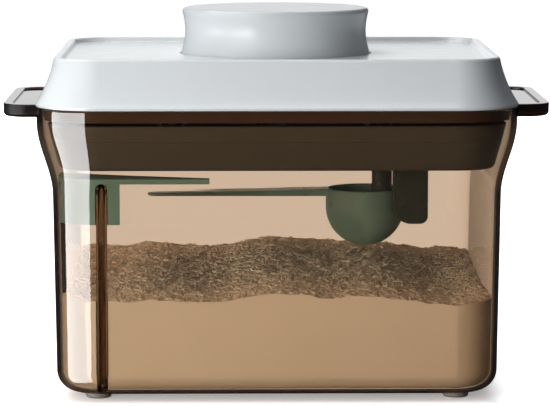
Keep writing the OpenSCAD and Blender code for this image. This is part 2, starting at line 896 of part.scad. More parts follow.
module scoop() {
    inner = bowl_r - bowl_t;
    tip = bowl_x + bowl_r - scoop_len;
    root = bowl_x - inner - 0.4;
    under = bowl_z - handle_t;
    color([0.5, 0.62, 0.55]) {
        translate([bowl_x, 0, bowl_mid])
            rotate_extrude()
                difference() {
                    cup_half(bowl_r);
                    cup_half(inner);
                    translate([0, bowl_h - 0.001])
                        square([inner, 1]);
                }
        difference() {
            intersection() {
                translate([0, 30, 0])
                    rotate([90, 0, 0])
                        linear_extrude(60)
                            polygon([[tip, under], [root, under], [root, bowl_z],
                                [bowl_x - bowl_r, bowl_z], [tip, under + handle_tip]]);
                translate([0, 0, bowl_z - 10])
                    linear_extrude(20) {
                        translate([tip + handle_w * 0.4, 0])
                            circle(handle_w * 0.4);
                        polygon([[tip + handle_w * 0.4, handle_w * 0.4], [root, handle_w * 0.5],
                            [root, -handle_w * 0.5], [tip + handle_w * 0.4, -handle_w * 0.4]]);
                    }
            }
            translate([bowl_x, 0, bowl_mid - 2])
                cylinder(h = bowl_h + 6, r = inner + 0.5);
        }
    }
}

container();
rubber_feet();
leveller();
milk_powder();
lid_shell();
carrier_plate();
carrier_screws();
seal_gasket();
rocker_pins();
latch_cartridge();
return_spring();
button();
pusher();
pusher_screws();
rocker_right();
rocker_back();
rocker_left();
rocker_front();
seal_tray();
scoop_holder();
holder_screws();
scoop();
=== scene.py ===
"""Looks of a milk powder canister with a push button lid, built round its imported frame.

Sizes are in millimetres, as on a maker's drawing, and become metres where a mesh is laid down.
"""
import logging
import math
import random
from dataclasses import dataclass
from enum import Enum
from typing import Any, Callable, ClassVar, Sequence

import bpy
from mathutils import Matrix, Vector, noise


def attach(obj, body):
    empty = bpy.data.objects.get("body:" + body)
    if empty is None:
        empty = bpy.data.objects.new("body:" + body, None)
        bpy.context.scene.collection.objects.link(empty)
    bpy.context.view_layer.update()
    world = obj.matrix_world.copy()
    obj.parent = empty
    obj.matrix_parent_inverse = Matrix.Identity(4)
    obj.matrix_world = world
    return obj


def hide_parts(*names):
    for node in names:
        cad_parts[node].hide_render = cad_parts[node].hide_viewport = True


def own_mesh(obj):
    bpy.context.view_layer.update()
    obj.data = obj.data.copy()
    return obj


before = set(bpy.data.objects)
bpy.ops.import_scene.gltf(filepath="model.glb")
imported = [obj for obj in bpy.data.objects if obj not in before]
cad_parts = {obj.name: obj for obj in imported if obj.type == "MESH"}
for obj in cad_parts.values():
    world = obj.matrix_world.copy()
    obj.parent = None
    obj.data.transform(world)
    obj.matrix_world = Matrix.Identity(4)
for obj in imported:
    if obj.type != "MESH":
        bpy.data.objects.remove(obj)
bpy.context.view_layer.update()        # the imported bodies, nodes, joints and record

MM = 0.001
# Points closer than this are one point
MERGE = 0.000002
# Steps of each spun corner of a sweep
CORNER_STEPS = 20
# Bore for a 3 mm screw
BORE_R = 1.56
# How far shapes that are joined run into each other
SUNK = 0.2
LOG = logging.getLogger("canister")

Flat = tuple[float, float]
Place = tuple[float, float, float]
Colour = tuple[float, float, float, float]
Piece = bpy.types.Object
Tree = bpy.types.NodeTree
Socket = bpy.types.NodeSocket

BLACK: Colour = (0, 0, 0, 1)
WHITE: Colour = (1, 1, 1, 1)


class Cut(Enum):
    """How a tool shape works on a piece."""

    JOIN = "UNION"
    TAKE = "DIFFERENCE"
    KEEP = "INTERSECT"


# Section drawing


def arc(cu: float, cz: float, radius: float, start: float, end: float, steps: int) -> list[Flat]:
    """Points on an arc of a section.

    Args:
        cu: Centre, across.
        cz: Centre, up.
        radius: Radius of the arc.
        start: First angle in degrees.
        end: Last angle in degrees.
        steps: Number of steps from the first to the last point.

    Returns:
        The points in order.
    """
    turns = (math.radians(start + (end - start) * i / steps) for i in range(steps + 1))
    return [(cu + radius * math.cos(a), cz + radius * math.sin(a)) for a in turns]


def ease(t: float) -> float:
    """Soft step from 0 to 1."""
    return (1.0 - math.cos(math.pi * min(1.0, max(0.0, t)))) / 2.0


# Edit mode work


class Bench:
    """The hand tools that every sub-assembly is shaped with."""

    @staticmethod
    def clear() -> None:
        """Leaves edit mode and selects nothing."""
        if bpy.context.mode != "OBJECT":
            bpy.ops.object.mode_set(mode="OBJECT")
        bpy.ops.object.select_all(action="DESELECT")

    @staticmethod
    def hold(piece: Piece) -> None:
        """Makes a piece the only selected and active one."""
        Bench.clear()
        piece.select_set(True)
        bpy.context.view_layer.objects.active = piece

    @staticmethod
    def edit(piece: Piece, mode: str = "VERT") -> None:
        """Opens a piece in edit mode with nothing selected."""
        Bench.hold(piece)
        bpy.ops.object.mode_set(mode="EDIT")
        bpy.ops.mesh.select_mode(type=mode)
        bpy.ops.mesh.select_all(action="DESELECT")

    @staticmethod
    def edit_whole(piece: Piece) -> None:
        """Opens a piece in edit mode with everything selected."""
        Bench.edit(piece)
        bpy.ops.mesh.select_all(action="SELECT")

    @staticmethod
    def extrude(move: Sequence[float]) -> None:
        """Extrudes what is selected by a move in metres."""
        bpy.ops.mesh.extrude_region_move(TRANSFORM_OT_translate={"value": move})

    @staticmethod
    def named(name: str) -> Piece:
        """Takes up the new primitive, fixes its place in its mesh and names it."""
        piece = bpy.context.active_object
        bpy.ops.object.transform_apply(location=True, rotation=True, scale=True)
        piece.name = piece.data.name = name
        return piece

    @staticmethod
    def block(name: str, low: Place, high: Place) -> Piece:
        """Box between two corners.

        Args:
            name: Name of the piece.
            low: Lowest corner.
            high: Highest corner.

        Returns:
            The box, with its place in its mesh.
        """
        a, b = Vector(low) * MM, Vector(high) * MM
        Bench.clear()
        bpy.ops.mesh.primitive_cube_add(size=1.0, location=(a + b) / 2, scale=b - a)
        return Bench.named(name)

    @staticmethod
    def rod(name: str, at: Flat, radius: float, low: float, high: float) -> Piece:
        """Upright cylinder.

        Args:
            name: Name of the piece.
            at: Place of its axis.
            radius: Its radius.
            low: Height of its lower end.
            high: Height of its upper end.

        Returns:
            The cylinder, with its place in its mesh.
        """
        Bench.clear()
        bpy.ops.mesh.primitive_cylinder_add(
            vertices=40, radius=radius * MM, depth=(high - low) * MM,
            location=(at[0] * MM, at[1] * MM, (low + high) / 2 * MM))
        return Bench.named(name)

    @staticmethod
    def line(name: str, points: Sequence[Place]) -> Piece:
        """Draws a plane together to one point and extrudes that point along a line.

        Args:
            name: Name of the piece.
            points: Points of the line.

        Returns:
            The piece, in edit mode, with the whole line selected.
        """
        spots = [Vector(p) * MM for p in points]
        Bench.clear()
        bpy.ops.mesh.primitive_plane_add(size=0.01)
        piece = Bench.named(name)
        Bench.edit_whole(piece)
        bpy.ops.mesh.merge(type="CENTER")
        bpy.ops.transform.translate(value=spots[0])
        for here, there in zip(spots, spots[1:]):
            Bench.extrude(there - here)
        bpy.ops.mesh.select_all(action="SELECT")
        return piece

    @staticmethod
    def close(piece: Piece) -> Piece:
        """Merges doubles, closes what is open and turns every face outwards."""
        bpy.ops.mesh.select_all(action="SELECT")
        bpy.ops.mesh.remove_doubles(threshold=MERGE)
        bpy.ops.mesh.dissolve_degenerate(threshold=MERGE)
        bpy.ops.mesh.select_all(action="SELECT")
        bpy.ops.mesh.fill_holes(sides=0)
        bpy.ops.mesh.select_all(action="SELECT")
        bpy.ops.mesh.normals_make_consistent(inside=False)
        Bench.hold(piece)
        return piece

    @staticmethod
    def sweep(name: str, section: Sequence[Flat], half: Flat) -> Piece:
        """Carries a section round a rounded rectangle: straight runs extruded, corners spun.

        Args:
            name: Name of the piece.
            section: Points, distance out from the corner axes and height.
            half: Half width and half depth between the corner axes.

        Returns:
            The closed piece.
        """
        hx, hy = half
        piece = Bench.line(name, [(hx + u, -hy, z) for u, z in section])
        runs = [((0, 2 * hy), (hx, hy)), ((-2 * hx, 0), (-hx, hy)),
                ((0, -2 * hy), (-hx, -hy)), ((2 * hx, 0), (hx, -hy))]
        for run, axis in runs:
            Bench.extrude(Vector((run[0], run[1], 0)) * MM)
            bpy.ops.mesh.spin(steps=CORNER_STEPS, angle=-math.pi / 2,
                              center=(axis[0] * MM, axis[1] * MM, 0), axis=(0, 0, 1))
        return Bench.close(piece)

    @staticmethod
    def revolve(name: str, section: Sequence[Flat], at: Flat = (0, 0), steps: int = 96) -> Piece:
        """Spins a section once round an upright axis.

        Args:
            name: Name of the piece.
            section: Points, distance out from the axis and height.
            at: Place of the axis.
            steps: Steps of the turn.

        Returns:
            The closed piece.
        """
        piece = Bench.line(name, [(at[0] + r, at[1], z) for r, z in section])
        bpy.ops.mesh.spin(steps=steps, angle=2 * math.pi,
                          center=(at[0] * MM, at[1] * MM, 0), axis=(0, 0, 1))
        return Bench.close(piece)

    @staticmethod
    def slab(name: str, outline: Sequence[Place], push: Place) -> Piece:
        """Fills a flat outline and extrudes it.

        Args:
            name: Name of the piece.
            outline: Corners of the flat outline.
            push: How far the face is extruded.

        Returns:
            The closed piece.
        """
        piece = Bench.line(name, [*outline, outline[0]])
        bpy.ops.mesh.remove_doubles(threshold=MERGE)
        bpy.ops.mesh.select_all(action="SELECT")
        bpy.ops.mesh.edge_face_add()
        Bench.extrude(Vector(push) * MM)
        return Bench.close(piece)

    @staticmethod
    def pick(piece: Piece, test: Callable[[Vector, Vector], bool], kind: str = "FACE") -> None:
        """Opens a piece and selects its faces, edges or points in code.

        Args:
            piece: The piece.
            test: Takes the place in millimetres and the normal, or the run of an edge.
            kind: FACE, EDGE or VERT.
        """
        Bench.edit(piece, kind)
        bpy.ops.object.mode_set(mode="OBJECT")
        mesh = piece.data
        if kind == "FACE":
            for face in mesh.polygons:
                face.select = test(face.center / MM, face.normal)
        elif kind == "EDGE":
            for edge in mesh.edges:
                a, b = (mesh.vertices[i].co for i in edge.vertices)
                edge.select = test((a + b) / 2 / MM, (b - a).normalized())
        else:
            for spot in mesh.vertices:
                spot.select = test(spot.co / MM, spot.normal)
        bpy.ops.object.mode_set(mode="EDIT")

    @staticmethod
    def finish_modifier(piece: Piece, kind: str, **settings: Any) -> None:
        """Puts a modifier on a piece and applies it.

        Args:
            piece: The piece.
            kind: Type of the modifier.
            **settings: Its settings.
        """
        Bench.hold(piece)
        bpy.ops.object.modifier_add(type=kind)
        modifier = piece.modifiers[-1]
        for key, value in settings.items():
            setattr(modifier, key, value)
        bpy.ops.object.modifier_apply(modifier=modifier.name)

    @staticmethod
    def join(pieces: Sequence[Piece]) -> Piece:
        """Joins several shapes in one mesh and returns it."""
        Bench.hold(pieces[0])
        for piece in pieces:
            piece.select_set(True)
        if len(pieces) > 1:
            bpy.ops.object.join()
        return pieces[0]

    @staticmethod
    def combine(piece: Piece, tools: Sequence[Piece], cut: Cut) -> None:
        """Joins tool shapes to a piece, takes them out of it or keeps what they share.

        Args:
            piece: The piece that is kept.
            tools: Shapes clear of each other that work on it, and are used up.
            cut: What they do.
        """
        tool = Bench.join(tools)
        Bench.finish_modifier(piece, "BOOLEAN", operation=cut.value, solver="EXACT", object=tool)
        bpy.data.meshes.remove(tool.data)

    @staticmethod
    def copy(piece: Piece, name: str) -> Piece:
        """Copies a piece with a mesh of its own."""
        Bench.hold(piece)
        bpy.ops.object.duplicate()
        twin = bpy.context.active_object
        twin.name = twin.data.name = name
        return twin

    @staticmethod
    def turn(piece: Piece, degrees: float) -> None:
        """Turns a piece about the upright middle axis and fixes that in its mesh.

        Args:
            piece: The piece.
            degrees: Angle, counted as transform.rotate does without a window.
        """
        Bench.edit_whole(piece)
        bpy.ops.transform.rotate(value=math.radians(degrees), orient_axis="Z", center_override=(0, 0, 0))
        Bench.clear()

    @staticmethod
    def round_edges(piece: Piece, width: float, segments: int = 2, angle: float = 40) -> None:
        """Rounds the edges that are sharper than an angle."""
        Bench.finish_modifier(piece, "BEVEL", width=width * MM, segments=segments, limit_method="ANGLE",
                              angle_limit=math.radians(angle), use_clamp_overlap=True)

    @staticmethod
    def smooth(piece: Piece, angle: float = 32) -> None:
        """Cleans a mesh and shades it smooth, with the wide faces ruling the normals."""
        Bench.edit_whole(piece)
        bpy.ops.mesh.remove_doubles(threshold=MERGE)
        Bench.hold(piece)
        bpy.ops.object.shade_smooth_by_angle(angle=math.radians(angle))
        Bench.finish_modifier(piece, "WEIGHTED_NORMAL", keep_sharp=True, weight=80)


# Finishes


def linear(code: str) -> Colour:
    """Turns an sRGB hex value to linear light."""
    parts = [int(code[i:i + 2], 16) / 255 for i in (1, 3, 5)]
    red, green, blue = [c / 12.92 if c <= 0.04045 else ((c + 0.055) / 1.055) ** 2.4 for c in parts]
    return red, green, blue, 1.0


def add_node(tree: Tree, kind: str, inputs: dict[Any, Any] | None = None,
             **settings: Any) -> bpy.types.Node:
    """Adds a node with its settings and links.

    Args:
        tree: Node tree.
        kind: Type of the node, without the words that all types start with.
        inputs: Values or sockets for its inputs, by name or number.
        **settings: Its own settings.

    Returns:
        The node.
    """
    node = tree.nodes.new("ShaderNode" + kind)
    for key, value in settings.items():
        setattr(node, key, value)
    for key, value in (inputs or {}).items():
        if isinstance(value, Socket):
            tree.links.new(value, node.inputs[key])
        else:
            node.inputs[key].default_value = value
    return node


def new_material(name: str) -> bpy.types.Material:
    """Starts a material with an empty node tree."""
    stuff = bpy.data.materials.new(name)
    stuff.use_nodes = True
    stuff.node_tree.nodes.clear()
    return stuff


def mottle(tree: Tree, size: float, detail: float, fine: float = 0.5) -> Socket:
    """Noise in object coordinates.

    Args:
        tree: Node tree.
        size: Size of its lumps in millimetres.
        detail: Levels of finer lumps.
        fine: Weight of each finer level.

    Returns:
        Its value.
    """
    place = add_node(tree, "TexCoord").outputs["Object"]
    return add_node(tree, "TexNoise", {"Vector": place, "Scale": 1 / (size * MM), "Detail": detail,
                                       "Roughness": fine}).outputs["Fac"]


def blend(tree: Tree, share: Socket, first: Socket | Colour, second: Socket | Colour) -> Socket:
    """Blend of two colours.

    Args:
        tree: Node tree.
        share: Share of the second colour.
        first: First colour.
        second: Second colour.

    Returns:
        The colour.
    """
    return add_node(tree, "Mix", {0: share, 6: first, 7: second}, data_type="RGBA").outputs[2]


def ramp(tree: Tree, value: Socket, start: float, end: float, low: Socket | float = 0.0,
         high: Socket | float = 1.0, soft: bool = False) -> Socket:
    """Maps a value from one range to another.

    Args:
        tree: Node tree.
        value: The value.
        start: Start of its range.
        end: End of its range.
        low: Result at the start.
        high: Result at the end.
        soft: Whether the change is eased at both ends.

    Returns:
        The result, held at both ends.
    """
    return add_node(tree, "MapRange", {"Value": value, "From Min": start, "From Max": end, "To Min": low,
                                       "To Max": high},
                    interpolation_type="SMOOTHSTEP" if soft else "LINEAR").outputs["Result"]


def reckon(tree: Tree, operation: str, *values: Socket | float, clamp: bool = False) -> Socket:
    """Sum on single values.

    Args:
        tree: Node tree.
        operation: Name of the operation.
        *values: What it works on.
        clamp: Whether the result stays from 0 to 1.

    Returns:
        The result.
    """
    return add_node(tree, "Math", dict(enumerate(values)), operation=operation, use_clamp=clamp).outputs[0]


def relief(tree: Tree, height: Socket, strength: Socket | float, depth: float) -> Socket:
    """Bump.

    Args:
        tree: Node tree.
        height: Pattern of heights.
        strength: How much of it shows.
        depth: Its full depth in millimetres.

    Returns:
        The normal.
    """
    return add_node(tree, "Bump", {"Strength": strength, "Distance": depth * MM, "Height": height}).outputs["Normal"]


def marked(tree: Tree, name: str) -> Socket:
    """Value of a mark on the faces of the piece."""
    return add_node(tree, "Attribute", attribute_name=name).outputs["Fac"]


@dataclass(frozen=True)
class Moulded:
    """Injection moulded plastic or rubber: even colour with a faint cloud, and a fine grain from the mould."""

    name: str
    colour: str
    cloud: str
    roughness: float = 0.3
    spread: float = 0.08
    ior: float = 1.5
    grain: float = 0.6
    height: float = 0.004
    metallic: float = 0.0

    def make(self) -> bpy.types.Material:
        """Builds the material.

        Returns:
            The material, with its pattern in object coordinates.
        """
        stuff = new_material(self.name)
        tree = stuff.node_tree
        # Cloud about 30 mm across, as the flow of the melt leaves it
        tone = blend(tree, mottle(tree, 30, 3.0), linear(self.colour), linear(self.cloud))
        # Handling makes the gloss uneven, in spots of about 9 mm
        rough = ramp(tree, mottle(tree, 9, 4.0), 0.3, 0.7, self.roughness - self.spread / 2,
                     self.roughness + self.spread / 2)
        normal = relief(tree, mottle(tree, self.grain, 2.0), 0.3, self.height)
        shader = add_node(tree, "BsdfPrincipled", {"Base Color": tone, "Roughness": rough, "Normal": normal,
                                                   "IOR": self.ior, "Metallic": self.metallic})
        add_node(tree, "OutputMaterial", {"Surface": shader.outputs["BSDF"]})
        return stuff


@dataclass(frozen=True)
class TintedClear:
    """Clear styrene copolymer, amber tinted and moulded in a polished tool: deep reflections, dark thick ears and ribs,
    and painted shade along the edges that turn away.
    """

    name: str = "san_amber_clear_moulded"
    glow: str = "#edcb98"
    density: float = 230.0
    # Painted shade, laid on the outer face where it turns away
    edge: str = "#120c07"
    thick: str = "#2e2016"
    painted_edge_from: float = 0.42
    painted_edge_to: float = 0.6
    etch: float = 0.5
    ior: float = 1.5
    roughness: float = 0.012
    haze: float = 0.03

    def make(self) -> bpy.types.Material:
        """Builds the material.

        Returns:
            The material: clear body with absorption, open to lamp rays.
        """
        stuff = new_material(self.name)
        tree = stuff.node_tree
        # Slow waves of the polished tool, about 24 mm long
        normal = relief(tree, mottle(tree, 24, 1.0), 0.1, 0.05)
        rough = ramp(tree, mottle(tree, 6, 3.0), 0.35, 0.75, self.roughness, self.roughness + self.haze)
        # Painted shade: the outer face is darkened where it turns away from the eye, and ribs and ears are dark because
        # they are thick
        turned = add_node(tree, "LayerWeight", {"Blend": 0.5}).outputs["Facing"]
        rim = reckon(tree, "MULTIPLY", ramp(tree, turned, self.painted_edge_from, self.painted_edge_to), marked(tree, "outer"))
        tint = blend(tree, marked(tree, "thick"), WHITE, linear(self.thick))
        tint = blend(tree, rim, tint, linear(self.edge))
        # The sides of the ears are etched in the tool, so they mirror less
        rough = ramp(tree, marked(tree, "etched"), 0.0, 1.0, rough, self.etch)
        body = add_node(tree, "BsdfPrincipled", {"Base Color": tint, "Transmission Weight": 1.0, "IOR": self.ior,
                                                 "Roughness": rough, "Normal": normal})
        # Lamp rays pass, so that the powder behind the wall is lit
        lamp = add_node(tree, "LightPath").outputs["Is Shadow Ray"]
        open_way = add_node(tree, "BsdfTransparent").outputs["BSDF"]
        mixed = add_node(tree, "MixShader", {0: lamp, 1: body.outputs["BSDF"], 2: open_way})
        depth = add_node(tree, "VolumeAbsorption", {"Color": linear(self.glow), "Density": self.density})
        add_node(tree, "OutputMaterial", {"Surface": mixed.outputs["Shader"], "Volume": depth.outputs["Volume"]})
        return stuff


@dataclass(frozen=True)
class Powder:
    """Agglomerated milk powder: matt cream grains of about a millimetre, with painted shade in the gaps between them.
    """

    name: str = "milk_powder_agglomerated"
    packed: str = "#f6f3e8"
    settled: str = "#f0ecdd"
    grain: str = "#faf8f0"
    # Painted shade between the grains
    gap: str = "#e6dcc6"

    def make(self) -> bpy.types.Material:
        """Builds the material.

        Returns:
            The material: even where it is pressed on the wall, loose grains on top.
        """
        stuff = new_material(self.name)
        tree = stuff.node_tree
        pressed = blend(tree, mottle(tree, 25, 3.0), linear(self.packed), linear(self.settled))
        lumps = mottle(tree, 0.9, 4.0, 0.7)
        # Painted shade: low spots of the lump pattern take the darker gap colour
        loose = blend(tree, ramp(tree, lumps, 0.32, 0.6), linear(self.gap), linear(self.grain))
        top = marked(tree, "loose")
        shader = add_node(tree, "BsdfPrincipled", {
            "Base Color": blend(tree, top, pressed, loose), "Roughness": 0.9,
            "Normal": relief(tree, lumps, top, 0.5), "Specular IOR Level": 0.2})
        add_node(tree, "OutputMaterial", {"Surface": shader.outputs["BSDF"]})
        return stuff


class Palette:
    """All finishes of the object, made once."""

    def __init__(self) -> None:
        """Makes the materials."""
        self.amber = TintedClear().make()
        # Cool white with a polish: broad soft highlights on lid and button
        self.lid = Moulded("abs_white_gloss_moulded", "#dde1e2", "#d9dddf", roughness=0.2, spread=0.04).make()
        # The button is the lid's white plastic, coloured greyer: painted shade
        self.button = Moulded("abs_white_painted_shade_moulded", "#ccd0d2", "#c8ccce", roughness=0.25, spread=0.04).make()
        # Muted grey green, waxy and a little duller on the leveller than on the scoop; the scoop's copy is coloured
        # lighter, as painted light
        self.sage = Moulded("polypropylene_sage_moulded", "#78a29c", "#729b95", roughness=0.35).make()
        self.scoop = Moulded("polypropylene_sage_painted_light", "#84aaa3", "#7da29b", roughness=0.3).make()
        # Dark inner parts, which the amber wall turns to browns
        self.plug = Moulded("abs_warm_grey_moulded", "#524f47", "#4c4941", roughness=0.4).make()
        self.carrier = Moulded("abs_brown_grey_moulded", "#4d3a2e", "#473529", roughness=0.4).make()
        self.holder = Moulded("abs_dark_moulded", "#3c4540", "#363f3a", roughness=0.25).make()
        # Soft parts: no clear highlight
        self.silicone = Moulded("silicone_dark_pressed", "#524f47", "#4c4941", roughness=0.5).make()
        # The feet are dark rubber coloured pale grey, as painted light
        self.rubber = Moulded("rubber_painted_light_pressed", "#a39a8f", "#9b9287", roughness=0.7).make()
        # Milky levers and dull bright metal inside the lid
        self.acetal = Moulded("acetal_natural_moulded", "#dcdbd3", "#d2d1c8", roughness=0.4).make()
        self.steel = Moulded("steel_zinc_plated", "#b9bbbf", "#a6a9ae", roughness=0.32, metallic=1.0).make()
        self.powder = Powder().make()


def seat(piece: Piece, stuff: bpy.types.Material, body: str, slot: str, *nodes: str) -> None:
    """Gives a finished piece its material and its body, and hides the nodes that it stands for.

    Args:
        piece: The piece.
        stuff: Its material.
        body: Body that it rides on.
        slot: Material slot of the record; not used.
        *nodes: Nodes that it replaces.
    """
    Bench.clear()
    piece.data.materials.clear()
    piece.data.materials.append(stuff)
    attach(piece, body)
    if nodes:
        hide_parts(*nodes)
    piece.data.update()
    LOG.info("%s: %d faces, rides on %s", piece.name, len(piece.data.polygons), body)


# Sub-assemblies


@dataclass
class Container:
    """See-through canister with a shoulder, two ear tabs and two locating ribs, on four feet."""

    half_x: float = 75.2
    half_y: float = 54.7
    rim_z: float = 125.6
    rim_r: float = 27.6
    wall: float = 2.6
    low_z: float = 2.8
    floor_z: float = 4.8
    shoulder_in: float = 6.7
    shoulder_low: float = 87.2
    shoulder_h: float = 32.0
    draft: float = 1.3
    bottom_r: float = 9.0
    inner_r: float = 7.0
    ear_out: float = 118.2
    ear_half: float = 48.0
    ear_t: float = 5.6
    ear_corner: float = 11.0
    ear_border: float = 4.0
    ear_panel: float = 0.8
    ear_round: float = 1.9
    ear_hollow: float = 2.4
    ear_wall: float = 2.6
    ear_root: float = 0.6
    rib_r: float = 2.3
    rib_slim: float = 0.15
    rib_off: float = 0.2
    rib_step: float = 0.7
    rib_low: float = 11.8
    rib_high: float = 91.8
    rib_bend: float = 70.0
    rib_clear: float = 0.4
    foot_r: float = 5.6
    socket_in: float = 0.74
    peg_in: float = 0.8
    foot_at: Flat = (77.0, 57.0)

    @property
    def half(self) -> Flat:
        """Half width and half depth between the corner axes."""
        return self.half_x, self.half_y

    @property
    def span(self) -> Flat:
        """Half width and half depth over the rim."""
        return self.half_x + self.rim_r, self.half_y + self.rim_r

    def side(self, z: float) -> float:
        """Distance of the outer wall from the corner axes at a height."""
        low = self.rim_r - self.shoulder_in
        if z >= self.shoulder_low:
            return low + self.shoulder_in * ease((z - self.shoulder_low) / self.shoulder_h)
        return low - self.draft * (self.shoulder_low - z) / (self.shoulder_low - self.low_z)

    def shoulder(self, inset: float) -> list[Flat]:
        """Shoulder curve from below, moved in by a wall."""
        heights = [self.shoulder_low + self.shoulder_h * i / 28 for i in range(29)]
        return [(self.side(z) - inset, z) for z in heights]

    def section(self) -> list[Flat]:
        """Section from the outer floor over the rim to the inner floor."""
        outer = self.side(self.low_z + self.bottom_r)
        inner = self.side(self.floor_z + self.inner_r) - self.wall
        edge = 0.8
        rim = self.rim_z - edge
        return [(0, self.low_z),
                *arc(outer - self.bottom_r, self.low_z + self.bottom_r, self.bottom_r, -90, 0, 14),
                *self.shoulder(0),
                *arc(self.rim_r - edge, rim, edge, 0, 90, 5),
                *arc(self.rim_r - self.wall + edge, rim, edge, 90, 180, 5),
                *reversed(self.shoulder(self.wall)),
                *arc(inner - self.inner_r, self.floor_z + self.inner_r, self.inner_r, 0, -90, 14),
                (0, self.floor_z)]

    def holds(self, x: float, y: float, z: float, gap: float) -> bool:
        """Tells whether a place lies in the room, clear of its walls and ribs.

        Args:
            x: Place to the right.
            y: Place to the back.
            z: Height.
            gap: Least distance from the walls and ribs.

        Returns:
            True if it does.
        """
        out = math.hypot(max(0.0, abs(x) - self.half_x), max(0.0, abs(y) - self.half_y))
        clear = all(math.dist((x, y), at) > self.rib_r + self.rib_clear + gap for at, _ in self.rib_places())
        return clear and out < self.side(z) - self.wall - gap

    def cavity(self, gap: float, top: float) -> list[Flat]:
        """Section of the space inside, smaller by a gap, up to a height below the shoulder."""
        inner = self.side(self.floor_z + self.inner_r) - self.wall
        return [(0, self.floor_z + gap),
                *arc(inner - self.inner_r, self.floor_z + self.inner_r, self.inner_r - gap, -90, 0, 14),
                (self.side(top) - self.wall - gap, top), (0, top)]

    def ear(self) -> Piece:
        """One ear tab: box with rounded corners, a sunk panel on top and a hollow below."""
        start = self.half_x + self.rim_r - self.wall + self.ear_root
        tab = Bench.block("ear", (start, -self.ear_half, self.rim_z - self.ear_t),
                          (self.ear_out, self.ear_half, self.rim_z))
        under = self.rim_z - self.ear_t + 0.01
        Bench.pick(tab, lambda at, run: abs(run.z) > 0.9 and at.x > self.ear_out - 1, "EDGE")
        bpy.ops.mesh.bevel(offset=self.ear_corner * MM, segments=10, affect="EDGES")
        Bench.pick(tab, lambda at, run: at.z < under and at.x > start + 1, "EDGE")
        bpy.ops.mesh.bevel(offset=self.ear_round * MM, segments=6, affect="EDGES")
        Bench.pick(tab, lambda at, up: up.z > 0.9)
        bpy.ops.mesh.inset(thickness=self.ear_border * MM)
        Bench.extrude((0, 0, -self.ear_panel * MM))
        Bench.pick(tab, lambda at, up: at.z < under)
        bpy.ops.mesh.inset(thickness=(self.ear_wall - self.ear_round) * MM)
        Bench.extrude((0, 0, self.ear_hollow * MM))
        Bench.round_edges(tab, 0.5, 3)
        return tab

    def rib_places(self) -> list[tuple[Flat, Flat]]:
        """Lower end of the front rib and of the side rib, each with the way into the room."""
        depth = self.side(self.rib_low) - self.wall - self.rib_off
        return [((-self.half_x + self.rib_step, -self.half_y - depth), (0.0, 1.0)),
                ((-self.half_x - depth, -self.half_y + self.rib_step), (1.0, 0.0))]

    def ribs(self, grow: float = 0.0) -> list[Piece]:
        """Both locating ribs, with round ends, along the lean of the walls.

        Args:
            grow: What is added to their radius.

        Returns:
            The front rib and the side rib.
        """
        r = self.rib_r + grow
        lean = (self.rib_high - self.rib_low) * self.draft / (self.shoulder_low - self.low_z)
        rods = []
        for at, way in self.rib_places():
            rod = Bench.revolve("rib", [(0, self.rib_low), (r, self.rib_low), (r, self.rib_high),
                                        *arc(0, self.rib_high, r, 10, 90, 8)], at, 32)
            Bench.pick(rod, lambda spot, up: spot.z > self.rib_high - 1, "VERT")
            bpy.ops.transform.translate(value=(-way[0] * lean * MM, -way[1] * lean * MM, 0))
            Bench.clear()
            rods.append(rod)
        return rods

    def rib_feet(self, grow: float = 0.0) -> list[Piece]:
        """The bent feet of both ribs, along the rounding at the floor.

        Args:
            grow: What is added to their radius.

        Returns:
            The foot of the front rib and of the side rib.
        """
        r = self.rib_r - self.rib_slim + grow
        bend = self.inner_r - self.rib_off
        feet = []
        for at, way in self.rib_places():
            ring = [(x, y, self.rib_low + 1) for x, y in arc(*at, r, 0, 360, 28)]
            foot = Bench.line("rib_foot", ring)
            bpy.ops.mesh.remove_doubles(threshold=MERGE)
            bpy.ops.mesh.select_all(action="SELECT")
            Bench.extrude((0, 0, -MM))
            bpy.ops.mesh.spin(steps=10, angle=-math.radians(self.rib_bend), axis=(way[1], -way[0], 0), center=(
                (at[0] + way[0] * bend) * MM, (at[1] + way[1] * bend) * MM, self.rib_low * MM))
            feet.append(Bench.close(foot))
        return feet

    def feet_places(self) -> list[Flat]:
        """Places of the four feet."""
        return [(sx * self.foot_at[0], sy * self.foot_at[1]) for sx in (-1, 1) for sy in (-1, 1)]

    def build(self) -> Piece:
        """Builds the canister wall, its ears, ribs and the sockets of the feet."""
        body = Bench.sweep("canister_wall", self.section(), self.half)
        ear = self.ear()
        twin = Bench.copy(ear, "other_ear")
        Bench.turn(twin, 180)
        Bench.combine(body, [ear, twin, *self.ribs()], Cut.JOIN)
        Bench.combine(body, self.rib_feet(), Cut.JOIN)
        sockets = [Bench.rod("socket", at, self.foot_r - self.socket_in, self.low_z - 1, self.low_z + 1.2)
                   for at in self.feet_places()]
        Bench.combine(body, sockets, Cut.TAKE)
        Bench.smooth(body, 30)
        self.mark(body)
        return body

    def mark(self, body: Piece) -> None:
        """Marks the outer faces, for the painted edge shade of the finish, and the thick ears and ribs."""
        marks = ("outer", "thick", "etched")
        for name in marks:
            body.data.attributes.new(name, "FLOAT", "FACE")
        outer, thick, etched = (body.data.attributes[name].data for name in marks)
        ear_from, steep = self.half_x + self.rim_r + 0.6, 0.6
        # Half width of a rib, and its reach from behind its axis to the end of its bent foot
        wide, behind, ahead = 2.4, -1.7, 7.2
        for face in body.data.polygons:
            at, up = face.center / MM, face.normal
            # Outer faces take the painted edge shade, half of it where they look straight down
            outer[face.index].value = (1.0 + 0.5 * min(0.0, up.z)) * float(at.x * up.x + at.y * up.y > 0)
            heavy = abs(at.x) > ear_from
            etched[face.index].value = float(heavy and abs(up.z) < steep)
            for spot, way in self.rib_places():
                dx, dy = at.x - spot[0], at.y - spot[1]
                heavy |= abs(dx * way[1] - dy * way[0]) < wide and behind < dx * way[0] + dy * way[1] < ahead
            thick[face.index].value = float(heavy)

